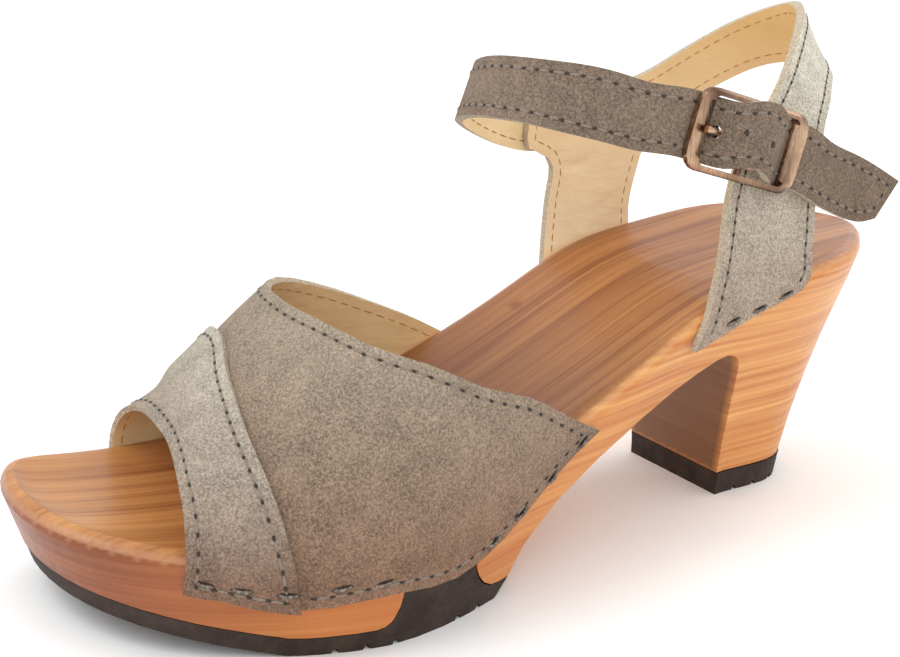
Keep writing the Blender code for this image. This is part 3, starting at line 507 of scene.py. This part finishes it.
def merged_copy(node):
    """A CAD node's mesh as a bmesh whose loose triangles are joined at their corners."""
    work = bmesh.new()
    work.from_mesh(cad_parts[node].data)
    bmesh.ops.remove_doubles(work, verts=work.verts, dist=MERGE_DISTANCE)
    loose = [v for v in work.verts if not v.link_faces]
    bmesh.ops.delete(work, geom=loose, context="VERTS")
    work.normal_update()
    return work


def finish_piece(name, work, materials, slot, *nodes):
    """Turns a bmesh into a piece that rides on the body and stands for the nodes."""
    mesh = bpy.data.meshes.new(name)
    work.to_mesh(mesh)
    work.free()
    piece = bpy.data.objects.new(name, mesh)
    bpy.context.scene.collection.objects.link(piece)
    for material in materials:
        mesh.materials.append(material)
    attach(piece, BODY)
    if nodes:
        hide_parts(*nodes)
    return piece


def sharpen(work, degrees):
    """Shades smoothly, apart from edges that turn by more than the angle."""
    limit = math.radians(degrees)
    for face in work.faces:
        face.smooth = True
    for edge in work.edges:
        edge.smooth = len(edge.link_faces) == 2 and edge.calc_face_angle(0.0) < limit


def refine(work, longest, rounds=4):
    """Splits edges longer than that many millimetres."""
    for _ in range(rounds):
        long = [e for e in work.edges if e.calc_length() > longest * MM]
        if not long:
            return
        bmesh.ops.subdivide_edges(work, edges=long, cuts=1, use_grid_fill=False)
        bmesh.ops.triangulate(work, faces=[f for f in work.faces if len(f.verts) > 3])
    work.normal_update()


def patches_of(work, degrees):
    """Groups faces into smooth patches, split where the surface turns by more than the angle."""
    limit = math.radians(degrees)
    work.faces.index_update()
    label = {}
    groups = []
    for seed in work.faces:
        if seed.index in label:
            continue
        label[seed.index] = len(groups)
        group = [seed]
        stack = [seed]
        while stack:
            face = stack.pop()
            for edge in face.edges:
                if len(edge.link_faces) != 2 or edge.calc_face_angle(0.0) > limit:
                    continue
                for other in edge.link_faces:
                    if other.index not in label:
                        label[other.index] = len(groups)
                        group.append(other)
                        stack.append(other)
        groups.append(group)
    return groups


def faces_out(face, node):
    """How far a face looks away from the middle of the foot."""
    centre = face.calc_center_median()
    if node.startswith("vamp"):
        middle = Vector((FOOT_MIDDLE[0], centre.y, FOOT_MIDDLE[1]))
    elif node == "heel_sling" and centre.y < ANKLE_MIDDLE:
        middle = Vector((0.0, centre.y, centre.z))
    else:
        middle = Vector((0.0, ANKLE_MIDDLE, centre.z))
    return face.normal.dot((centre - middle).normalized())


def layer_faces(work, node):
    """Marks every face as outer suede 0, lining 1 or cut edge 2."""
    groups = patches_of(work, SHEET_TURN)
    areas = [sum(f.calc_area() for f in group) for group in groups]
    total = sum(areas)
    for group, area in zip(groups, areas):
        out = sum(faces_out(f, node) * f.calc_area() for f in group) / max(area, 1e-12)
        index = 2
        if area > SHEET_SHARE * total:
            index = 0 if out > 0 else 1
        for face in group:
            face.material_index = index


def press_creases(work, node):
    """Presses the listed creases into both sides of the leather."""
    tree = BVHTree.FromBMesh(work)
    for name, first, last, width, depth in CREASES:
        if name != node:
            continue
        start, normal = seen(tree, first)
        end = seen(tree, last)[0]
        along = end - start
        for vert in work.verts:
            share = (vert.co - start).dot(along) / along.length_squared
            if not -CREASE_OVERRUN < share < 1 + CREASE_OVERRUN:
                continue
            away = (vert.co - (start + along * share)).length
            fade = max(0.0, 1.0 - abs(share - 0.5) ** 2 * CREASE_FADE)
            vert.co -= normal * depth * MM * fade * math.exp(-(away / (width * CREASE_HOLLOW * MM)) ** 2)


def relax_sheets(work, rounds):
    """Evens the facets of the sheets, and leaves their outlines where they are."""
    inner = [v for v in work.verts if len({f.material_index for f in v.link_faces}) == 1
             and v.link_faces[0].material_index < 2]
    for _ in range(rounds):
        bmesh.ops.smooth_vert(work, verts=inner, factor=0.5,
                              use_axis_x=True, use_axis_y=True, use_axis_z=True)


SHEETS = {}


def sheet_of(work, index):
    """Points and triangles of one side of the leather, and the loops round it."""
    faces = [f for f in work.faces if f.material_index == index]
    rims = {}
    for face in faces:
        for loop in face.loops:
            edge = loop.edge
            if any(other.material_index != index for other in edge.link_faces):
                rims[loop.vert.index] = loop.link_loop_next.vert.index
    points = [v.co.copy() for v in work.verts]
    tree = BVHTree.FromPolygons(points, [[v.index for v in f.verts] for f in faces])
    loops = []
    while rims:
        start = next(iter(rims))
        chain = [start]
        here = rims.pop(start)
        while here != start and here in rims:
            chain.append(here)
            here = rims.pop(here)
        around = sum((points[b] - points[a]).length for a, b in zip(chain, chain[1:]))
        if around > SHORTEST_RIM:
            loops.append([points[i] for i in chain])
    return tree, loops


def build_leather(node, settings):
    """One leather wall as suede, lining and cut edge."""
    work = merged_copy(node)
    layer_faces(work, node)
    refine(work, LEATHER_EDGE)
    relax_sheets(work, 3)
    press_creases(work, node)
    work.normal_update()
    work.verts.index_update()
    SHEETS[node] = (sheet_of(work, 0), sheet_of(work, 1))
    sharpen(work, SHARP_TURNS["leather"])
    outer, inner = LEATHERS[node]
    materials = [
        material_of("suede of " + node, suede, "suede of " + node, *outer, settings),
        material_of("lining of " + node, lining, "lining of " + node, *inner, outer[2]),
        material_of("cut edge of " + node, cut_edge, "cut edge of " + node, outer[0]),
    ]
    return finish_piece(node + "_leather", work, materials, "suede", node)


def resample(loop, spacing):
    """Points along a closed loop, evenly spaced in metres."""
    closed = loop + [loop[0]]
    length = sum((b - a).length for a, b in zip(closed, closed[1:]))
    count = max(8, int(length / spacing))
    made = []
    target = 0.0
    gone = 0.0
    for a, b in zip(closed, closed[1:]):
        size = (b - a).length
        while target <= gone + size and len(made) < count:
            made.append(a.lerp(b, (target - gone) / max(size, 1e-9)))
            target += length / count
        gone += size
    return made


def inset_runs(tree, loops, inset, keep):
    """Lines on a sheet that follow its loops at that distance in metres, as runs of (point, normal)."""
    rims = [resample(loop, RIM_SPACING) for loop in loops]
    near = point_tree([p for rim in rims for p in rim])
    runs = []
    for rim in rims:
        count = len(rim)
        placed = []
        for i in range(count):
            before, here, after = rim[i - 2], rim[i], rim[(i + 2) % count]
            tangent = (after - before).normalized()
            inward = tree.find_nearest(here)[1].cross(tangent)
            target, normal = tree.find_nearest(here + inward * inset)[:2]
            if target is None or near.find(target)[2] < inset * INSET_SHARE or not keep(target, tangent):
                placed.append(None)
            else:
                placed.append((target, normal))
        runs += split_runs(placed, WIDEST_GAP)
    return runs


def point_tree(points):
    """A search tree of points."""
    tree = KDTree(len(points))
    for i, point in enumerate(points):
        tree.insert(point, i)
    tree.balance()
    return tree


def split_runs(placed, jump):
    """Joins placed points into runs, which end at holes wider than the jump."""
    kept = [p for p in placed if p is not None]
    if len(kept) < FEWEST_POINTS:
        return []
    runs = [[kept[0]]]
    for item in kept[1:]:
        if (item[0] - runs[-1][-1][0]).length > jump:
            runs.append([])
        runs[-1].append(item)
    if len(runs) > 1 and (runs[-1][-1][0] - runs[0][0][0]).length < jump:
        runs[0] = runs.pop() + runs[0]
    return [run for run in runs if len(run) >= FEWEST_POINTS]


def walk(run, pitch, phase=0.5):
    """Places along a run, one each pitch and phase pitches in, as (point, direction, normal)."""
    lengths = [0.0]
    for here, ahead in zip(run, run[1:]):
        lengths.append(lengths[-1] + (ahead[0] - here[0]).length)
    count = max(1, round(lengths[-1] / pitch))
    spacing = lengths[-1] / count
    made = []
    j = 0
    for i in range(count):
        target = (i + phase) * spacing
        while j < len(run) - 2 and lengths[j + 1] < target:
            j += 1
        share = (target - lengths[j]) / max(lengths[j + 1] - lengths[j], 1e-9)
        low, high = max(0, j - 2), min(len(run) - 1, j + 3)
        direction = (run[high][0] - run[low][0]).normalized()
        made.append((run[j][0].lerp(run[j + 1][0], share), direction, run[j][1]))
    return made


def instance_tree(name, shape):
    """Geometry nodes that set a small shape on every vertex, turned by its direction and normal."""
    tree = bpy.data.node_groups.new(name, "GeometryNodeTree")
    face = tree.interface
    face.new_socket("Geometry", in_out="INPUT", socket_type="NodeSocketGeometry")
    for label in ("Length", "Width", "Height", "Sink", "Jitter"):
        face.new_socket(label, in_out="INPUT", socket_type="NodeSocketFloat")
    face.new_socket("Seed", in_out="INPUT", socket_type="NodeSocketInt")
    face.new_socket("Material", in_out="INPUT", socket_type="NodeSocketMaterial")
    face.new_socket("Geometry", in_out="OUTPUT", socket_type="NodeSocketGeometry")
    source = add(tree, "NodeGroupInput")
    given = {socket.name: socket for socket in source.outputs}
    direction = add(tree, "GeometryNodeInputNamedAttribute", {"Name": "direction"}, data_type="FLOAT_VECTOR")
    normal = add(tree, "GeometryNodeInputNamedAttribute", {"Name": "upward"}, data_type="FLOAT_VECTOR")
    along = add(tree, "FunctionNodeAlignRotationToVector", {"Vector": direction}, axis="X")
    turned = add(tree, "FunctionNodeAlignRotationToVector", {"Rotation": along, "Vector": normal},
                 axis="Z", pivot_axis="X")
    spread = add(tree, "FunctionNodeRandomValue", {"Seed": given["Seed"]}, data_type="FLOAT")
    for socket, value in zip([s for s in spread.inputs if s.name in ("Min", "Max") and s.type == "VALUE"
                              and s.enabled], (-1.0, 1.0)):
        socket.default_value = value
    random = next(s for s in spread.outputs if s.enabled)
    factor = add(tree, "ShaderNodeMath", (add(tree, "ShaderNodeMath", (random, given["Jitter"]),
                                              operation="MULTIPLY"), 1.0), operation="ADD")
    size = add(tree, "ShaderNodeCombineXYZ", {0: factor, 1: 1.0, 2: 1.0})
    sink = add(tree, "ShaderNodeMath", (given["Sink"], -1.0), operation="MULTIPLY")
    down = add(tree, "ShaderNodeVectorMath", {"Vector": normal, "Scale": sink}, operation="SCALE")
    sunk = add(tree, "GeometryNodeSetPosition", {"Geometry": given["Geometry"], "Offset": down})
    placed = add(tree, "GeometryNodeInstanceOnPoints", {"Points": sunk, "Instance": shape(tree, given),
                                                        "Rotation": turned, "Scale": size})
    solid = add(tree, "GeometryNodeRealizeInstances", {"Geometry": placed})
    smooth = add(tree, "GeometryNodeSetShadeSmooth", {"Geometry": solid})
    painted = add(tree, "GeometryNodeSetMaterial", {"Geometry": smooth, "Material": given["Material"]})
    add(tree, "NodeGroupOutput", {0: painted})
    return tree


def bead(tree, given):
    """A bead of the given length, width and height."""
    ball = add(tree, "GeometryNodeMeshUVSphere", {"Segments": 8, "Rings": 6, "Radius": 0.5})
    size = add(tree, "ShaderNodeCombineXYZ", {0: given["Length"], 1: given["Width"], 2: given["Height"]})
    return add(tree, "GeometryNodeTransform", {"Geometry": ball, "Scale": size})


def crown(tree, given):
    """A staple's crown, a flattened wire whose ends turn down into the leather."""
    half = add(tree, "ShaderNodeMath", (given["Length"], 0.5), operation="MULTIPLY")
    ends = []
    for sign in (-1.0, 1.0):
        across = add(tree, "ShaderNodeMath", (half, sign), operation="MULTIPLY")
        ends.append([add(tree, "ShaderNodeCombineXYZ", {0: across, 2: rise * MM}) for rise in CROWN_RISES])
    path = add(tree, "GeometryNodeCurvePrimitiveBezierSegment", {
        "Resolution": 14, "Start": ends[0][0], "Start Handle": ends[0][1],
        "End Handle": ends[1][1], "End": ends[1][0]})
    radius = add(tree, "ShaderNodeMath", (given["Width"], 0.5), operation="MULTIPLY")
    section = add(tree, "GeometryNodeCurvePrimitiveCircle", {"Resolution": 8, "Radius": radius})
    return add(tree, "GeometryNodeCurveToMesh", {"Curve": path, "Profile Curve": section,
                                                 "Fill Caps": True})


def scatter(name, places, tree, values, material):
    """A piece with one shape at each of the places, made by the node tree with the named values."""
    mesh = bpy.data.meshes.new(name)
    mesh.from_pydata([place[0] for place in places], [], [])
    for label, column in (("direction", 1), ("upward", 2)):
        data = mesh.attributes.new(label, "FLOAT_VECTOR", "POINT").data
        for i, place in enumerate(places):
            data[i].vector = place[column]
    seed = bpy.data.objects.new(name + "_points", mesh)
    bpy.context.scene.collection.objects.link(seed)
    modifier = seed.modifiers.new(name, "NODES")
    modifier.node_group = tree
    ids = {item.name: item.identifier for item in tree.interface.items_tree if item.in_out == "INPUT"}
    for label, value in values.items():
        modifier[ids[label]] = value
    modifier[ids["Material"]] = material
    seen_now = seed.evaluated_get(bpy.context.evaluated_depsgraph_get())
    plain = bpy.data.meshes.new_from_object(seen_now)
    plain.name = name
    bpy.data.objects.remove(seed)
    piece = bpy.data.objects.new(name, plain)
    bpy.context.scene.collection.objects.link(piece)
    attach(piece, BODY)
    return piece


def ribbon(name, runs, width, lift, material, slot):
    """A thin line along runs on a sheet, as one mesh, which carries the painted shade of a pressed seam."""
    work = bmesh.new()
    for run in runs:
        rows = []
        for i, (point, normal) in enumerate(run):
            ahead = run[min(i + 2, len(run) - 1)][0] - run[max(i - 2, 0)][0]
            side = normal.cross(ahead.normalized()) * width / 2
            rows.append([work.verts.new(point + side * s + normal * lift * (1.0 - abs(s)))
                         for s in (-1.0, 0.0, 1.0)])
        for a, b in zip(rows, rows[1:]):
            for k in (0, 1):
                work.faces.new((a[k], a[k + 1], b[k + 1], b[k])).smooth = True
    bmesh.ops.recalc_face_normals(work, faces=work.faces)
    return finish_piece(name, work, [material], slot)


def keep_for(node):
    """Says where a leather piece is stitched: (point, tangent) -> bool."""
    strip = SHEETS["vamp_front_strip"][0][0]

    def keep(point, tangent):
        if node == "heel_sling":
            return not (point.z < HEM_HEIGHT and abs(tangent.z) < HEM_SLOPE)
        if node == "vamp_rear_panel":
            return strip.find_nearest(point)[3] > LAP_MARGIN
        return True

    return keep


def paint_weights(piece, name, weight):
    """Stores weight(vertex) as a float attribute of the piece."""
    data = piece.data.attributes.new(name, "FLOAT", "POINT").data
    for vert in piece.data.vertices:
        data[vert.index].value = weight(vert)


def step(value, low, high):
    """Smooth rise from 0 at low to 1 at high."""
    t = min(1.0, max(0.0, (value - low) / (high - low)))
    return t * t * (3 - 2 * t)


class SandalSettings(bpy.types.PropertyGroup):
    """Sizes and colours of the sandal's looks."""

    stitch_pitch: FloatProperty(name="Stitch Pitch", description="Distance from one stitch to the next",
                                default=4.0 * MM, min=0.001, unit="LENGTH")
    stitch_length: FloatProperty(name="Stitch Length", description="Length of the thread that shows",
                                 default=3.3 * MM, min=0.0005, unit="LENGTH")
    thread_width: FloatProperty(name="Thread Width", description="Width of the sewing thread",
                                default=0.75 * MM, min=0.0001, unit="LENGTH")
    stitch_inset: FloatProperty(name="Stitch Inset",
                                description="Distance of a seam from the edge beside it",
                                default=2.7 * MM, min=0.0005, unit="LENGTH")
    staple_wire: FloatProperty(name="Staple Wire", description="Thickness of the staples' wire",
                               default=0.95 * MM, min=0.0002, unit="LENGTH")
    nap_contrast: FloatProperty(name="Nap Contrast", description="How strongly the suede's nap is mottled",
                                default=1.15, min=0.0, max=2.0, subtype="FACTOR")
    hole_size: FloatProperty(name="Needle Hole", description="Width of the dark hole between two stitches",
                             default=0.85 * MM, min=0.0001, unit="LENGTH")
    key_power: FloatProperty(name="Key Light", description="Power of the large soft light above",
                             default=6.5, min=0.0, unit="POWER")
    thread_colour: FloatVectorProperty(name="Thread Colour",
                                       description="Colour of the waxed thread outside",
                                       default=linear("#776A5D")[:3], size=3, min=0.0, max=1.0,
                                       subtype="COLOR")
    lining_thread_colour: FloatVectorProperty(name="Lining Thread Colour",
                                              description="Colour of the thread on the lining",
                                              default=linear("#A87B45")[:3], size=3, min=0.0, max=1.0,
                                              subtype="COLOR")
    staple_length: FloatProperty(name="Staple Length", description="Length of a staple's crown",
                                 default=4.6 * MM, min=0.001, unit="LENGTH")
    strap_hole: FloatProperty(name="Strap Hole", description="Width of a punched hole in the strap",
                              default=1.9 * MM, min=0.0005, unit="LENGTH")
    seed: IntProperty(name="Seed", description="Seed of the small differences between stitches", default=7)


class SANDAL_OT_sole(bpy.types.Operator):
    """Build the carved wooden sole with its footbed, rounded edge and grain"""

    bl_idname = "sandal.sole"
    bl_label = "Wooden Sole"

    def execute(self, context):
        work = merged_copy("wood_sole")
        refine(work, SOLE_EDGE)
        sharpen(work, SHARP_TURNS["wood"])
        piece = finish_piece("wood_sole_carved", work, [material_of("alder", alder)], "alder_wood",
                             "wood_sole")
        tree = BVHTree.FromObject(piece, context.evaluated_depsgraph_get())
        knot = seen(tree, KNOT)[0]
        paint_weights(piece, "footbed", lambda v: step(v.normal.z, *FOOTBED_NORMAL))
        # Painted highlight along the rounded edge.
        paint_weights(piece, "edge_highlight", lambda v: step(v.normal.z, *EDGE_BEGINS) * step(v.normal.z,
                                                                                        *EDGE_ENDS))
        paint_weights(piece, "knot", lambda v: step((v.co - knot).length, *KNOT_FADE))
        # Painted shade on the heel's breast.
        paint_weights(piece, "breast_shade", lambda v: step(-v.normal.y, *BREAST_NORMAL) * step(v.co.y,
                                                                                          *BREAST_PLACE))
        return {"FINISHED"}


class SANDAL_OT_tread(bpy.types.Operator):
    """Give the rubber tread and the heel lift their moulded rubber"""

    bl_idname = "sandal.tread"
    bl_label = "Rubber Tread and Lift"

    def execute(self, context):
        for node in ("forefoot_tread", "heel_lift"):
            work = merged_copy(node)
            sharpen(work, SHARP_TURNS["rubber"])
            finish_piece(node + "_moulded", work, [material_of("rubber", rubber)], "tread_rubber", node)
        return {"FINISHED"}


class SANDAL_OT_upper(bpy.types.Operator):
    """Build the vamp, the front strip, the quarters with the sling, and the ankle strap"""

    bl_idname = "sandal.upper"
    bl_label = "Suede Upper"

    def execute(self, context):
        for node in LEATHERS:
            build_leather(node, context.scene.sandal)
        return {"FINISHED"}


class SANDAL_OT_buckle(bpy.types.Operator):
    """Build the copper buckle, its prong and its leather loop"""

    bl_idname = "sandal.buckle"
    bl_label = "Buckle"

    def execute(self, context):
        for node in ("buckle_frame", "buckle_prong"):
            work = merged_copy(node)
            sharpen(work, SHARP_TURNS["plating"])
            piece = finish_piece(node + "_plated", work, [material_of("copper", copper)],
                                 "antique_copper", node)
            low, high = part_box(node)
            # Painted shade on the frame's side bars, away from its ends.
            paint_weights(piece, "side_bar_shade",
                          lambda v: SIDE_BAR_SHADE * step(min(v.co.y - low.y, high.y - v.co.y), *SIDE_BAR_SHADE_REACH[node]))
        work = merged_copy("buckle_loop")
        sharpen(work, SHARP_TURNS["leather"])
        finish_piece("buckle_loop_leather", work, [material_of("loop", loop_leather)], "loop_leather",
                     "buckle_loop")
        return {"FINISHED"}


class SANDAL_OT_stitches(bpy.types.Operator):
    """Sew the upper: stitches, painted shade of the needle holes and along the seam lines, and the lining's
    tan thread
    """

    bl_idname = "sandal.stitches"
    bl_label = "Stitches"

    def execute(self, context):
        settings = context.scene.sandal
        tree = instance_tree("stitches along a seam", bead)
        taupe = material_of("taupe thread", thread, "taupe waxed thread", settings.thread_colour)
        tan = material_of("tan thread", thread, "tan lining thread", settings.lining_thread_colour)
        for node, sides in SHEETS.items():
            keep = keep_for(node)
            pitch = settings.stitch_pitch * (SLING_PITCH if node == "heel_sling" else 1.0)
            for (sheet, loops), side in zip(sides, ("outer", "lining")):
                runs = inset_runs(sheet, loops, settings.stitch_inset, keep)
                places = [place for run in runs for place in walk(run, pitch)]
                outer = side == "outer"
                width = settings.thread_width * (1.0 if outer else LINING_THREAD)
                if outer:
                    # The needle holes are dark beads: painted shade of the holes.
                    holes = [place for run in runs for place in walk(run, pitch, 0.0)]
                    scatter("%s_needle_hole_shade" % node, holes, tree,
                            {"Length": settings.hole_size * HOLE_SHAPE[0], "Width": settings.hole_size,
                             "Height": settings.hole_size * HOLE_SHAPE[1], "Sink": 0.0,
                             "Jitter": JITTER["hole"], "Seed": settings.seed}, painted_shade_thread())
                scatter("%s_%s_stitches" % (node, side), places, tree,
                        {"Length": settings.stitch_length * pitch / settings.stitch_pitch, "Width": width,
                         "Height": width * THREAD_SHAPE[0], "Sink": width * THREAD_SHAPE[1],
                         "Jitter": JITTER["stitch"], "Seed": settings.seed},
                        taupe if outer else tan)
                if outer:
                    # The seam's line is painted shade: the suede darkened along the stitches.
                    low, high, span = LEATHERS[node][0]
                    seam = material_of("seam of " + node, suede, "pressed seam of " + node, darker(low),
                                       darker(high), span, settings)
                    ribbon("%s_seam" % node, runs, SEAM_WIDTH, SEAM_LIFT, seam, "suede")
        return {"FINISHED"}


def darker(code):
    """A hex colour code darkened into the painted shade of a pressed seam."""
    return "#" + "".join("%02X" % int(int(code[i:i + 2], 16) * SEAM_SHADE) for i in (1, 3, 5))


class SANDAL_OT_staples(bpy.types.Operator):
    """Drive the staples along the hems with painted shadows under them, and mark the strap's holes and the
    prong's hole with painted shade
    """

    bl_idname = "sandal.staples"
    bl_label = "Staples and Holes"

    def execute(self, context):
        settings = context.scene.sandal
        places = []
        for node, ends in (("vamp_rear_panel", VAMP_STAPLES), ("heel_sling", QUARTER_STAPLES)):
            for first, last in ends:
                places += self.pair(node, first, last)
        staples = instance_tree("staples along a hem", crown)
        length = settings.staple_length
        # Painted shadow: a dark bead under each staple.
        scatter("staple_shadows", places, instance_tree("painted shadows under staples", bead),
                {"Length": length * STAPLE_SHADOW_SHAPE[0], "Width": settings.staple_wire * STAPLE_SHADOW_SHAPE[1],
                 "Height": STAPLE_SHADOW_HEIGHT, "Sink": 0.0, "Jitter": 0.0, "Seed": settings.seed}, painted_shade_thread())
        scatter("hem_staples", places, staples,
                {"Length": length, "Width": settings.staple_wire, "Height": settings.staple_wire,
                 "Sink": -CROWN_LIFT, "Jitter": JITTER["staple"], "Seed": settings.seed},
                material_of("staple", staple_steel))
        sheet = SHEETS["ankle_strap"][0][0]
        lengthwise_of_shoe = Vector((0.0, 1.0, 0.0))
        holes = []
        for pixel in STRAP_HOLES:
            point, normal = seen(sheet, pixel)
            holes.append((point, lengthwise_of_shoe, normal))
        above, normal = seen(sheet, PRONG_HOLE_RIMS[0])
        below = seen(sheet, PRONG_HOLE_RIMS[1])[0]
        width, height, depth = PRONG_HOLE
        middle = (above + below) / 2 - normal * depth
        scatter("prong_hole_shade", [(middle, lengthwise_of_shoe, normal)],
                instance_tree("shade in the prong's hole", bead),
                {"Length": width, "Width": width, "Height": height, "Sink": 0.0, "Jitter": 0.0,
                 "Seed": settings.seed}, painted_shade_thread())
        # The punched holes are dark beads: painted shade in the holes.
        scatter("strap_hole_shade", holes, instance_tree("painted shade in punched holes", bead),
                {"Length": settings.strap_hole, "Width": settings.strap_hole, "Height": STRAP_HOLE_HEIGHT,
                 "Sink": 0.0, "Jitter": 0.0, "Seed": settings.seed}, painted_shade_thread())
        return {"FINISHED"}

    def pair(self, node, first, last):
        """The staple seen between two pixels, and its twin on the inner side."""
        sheet = SHEETS[node][0][0]
        hits = [self.near_hit(node, sheet, pixel) for pixel in (first, last)]
        if None in hits:
            return []
        (a, normal), (b, other) = hits
        middle = (a + b) / 2
        made = [(middle, (b - a).normalized(), (normal + other).normalized())]
        start = Vector((INNER_START, middle.y, middle.z))
        point, normal = sheet.ray_cast(start, Vector((1.0, 0.0, 0.0)))[:2]
        if point is not None and point.x < 0:
            if normal.x > 0:
                normal = -normal
            mirrored = (b - a) * Vector((-1.0, 1.0, 1.0))
            along = mirrored - normal * mirrored.dot(normal)
            made.append((point, along.normalized(), normal))
        return made

    def near_hit(self, node, sheet, pixel):
        """Where the camera's ray meets the leather, or a strip that covers it."""
        direction = pixel_ray(pixel)
        found = []
        for name in (node, "vamp_front_strip") if node.startswith("vamp") else (node,):
            hit = SHEETS[name][0][0].ray_cast(CAMERA_PLACE, direction)
            if hit[0] is not None:
                found.append(hit)
        if not found:
            return None
        point, normal = min(found, key=lambda hit: hit[3])[:2]
        if normal.dot(direction) > 0:
            normal = -normal
        return point, normal


class SANDAL_OT_stage(bpy.types.Operator):
    """Set the pale floor, the soft studio lights and the photograph's camera"""

    bl_idname = "sandal.stage"
    bl_label = "Stage"

    def execute(self, context):
        self.floor(context)
        self.camera(context)
        self.lights(context)
        return {"FINISHED"}

    def floor(self, context):
        work = bmesh.new()
        bmesh.ops.create_grid(work, x_segments=8, y_segments=8, size=FLOOR_SIZE)
        mesh = bpy.data.meshes.new("studio_floor")
        work.to_mesh(mesh)
        work.free()
        mesh.materials.append(material_of("floor", floor_paint))
        floor = bpy.data.objects.new("studio_floor", mesh)
        context.scene.collection.objects.link(floor)

    def camera(self, context):
        right, up, back = camera_axes()
        data = bpy.data.cameras.new("photo_camera")
        data.lens = CAMERA_LENS
        data.sensor_width = SENSOR_WIDTH
        data.sensor_fit = "HORIZONTAL"
        data.clip_start = 0.01
        camera = bpy.data.objects.new("photo_camera", data)
        context.scene.collection.objects.link(camera)
        turn = Matrix((right, up, back)).transposed().to_4x4()
        camera.matrix_world = Matrix.Translation(CAMERA_PLACE) @ turn
        context.scene.camera = camera

    def lights(self, context):
        power = context.scene.sandal.key_power
        for name, place, size, share in LIGHTS:
            data = bpy.data.lights.new("soft_" + name, "AREA")
            data.energy = power * share
            data.size = size
            light = bpy.data.objects.new("soft_" + name, data)
            context.scene.collection.objects.link(light)
            aim = Vector(LIGHTS_AIM) - Vector(place)
            light.rotation_euler = aim.to_track_quat("-Z", "Y").to_euler()
            light.location = place
        world = bpy.data.worlds.new("studio")
        world.use_nodes = True
        tree = world.node_tree
        tree.nodes.clear()
        white = add(tree, "ShaderNodeBackground", {"Color": linear("#FFFFFF"), "Strength": 1.0})
        add(tree, "ShaderNodeOutputWorld", {"Surface": white})
        context.scene.world = world
        context.scene.view_settings.view_transform = "Standard"


class SANDAL_PT_panel(bpy.types.Panel):
    """Panel of the sandal in the 3D view's sidebar"""

    bl_idname = "SANDAL_PT_panel"
    bl_label = "Wooden Sole Sandal"
    bl_space_type = "VIEW_3D"
    bl_region_type = "UI"
    bl_category = "Sandal"

    def draw(self, context):
        layout = self.layout
        settings = context.scene.sandal
        for name in settings.__annotations__:
            layout.prop(settings, name)
        for operator in OPERATORS:
            layout.operator(operator.bl_idname)


OPERATORS = (SANDAL_OT_sole, SANDAL_OT_tread, SANDAL_OT_upper, SANDAL_OT_buckle, SANDAL_OT_stitches,
             SANDAL_OT_staples, SANDAL_OT_stage)
CLASSES = (SandalSettings,) + OPERATORS + (SANDAL_PT_panel,)


def register():
    for made in CLASSES:
        bpy.utils.register_class(made)
    bpy.types.Scene.sandal = PointerProperty(type=SandalSettings)


def unregister():
    del bpy.types.Scene.sandal
    for made in reversed(CLASSES):
        bpy.utils.unregister_class(made)


def plain(box):
    """A box as lists of numbers."""
    return [[float(v) for v in corner] for corner in box]


def main():
    register()
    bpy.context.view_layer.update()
    bpy.ops.sandal.sole()
    bpy.ops.sandal.tread()
    bpy.ops.sandal.upper()
    bpy.ops.sandal.buckle()
    bpy.ops.sandal.stitches()
    bpy.ops.sandal.staples()
    bpy.ops.sandal.stage()


if __name__ == "__main__":
    main()
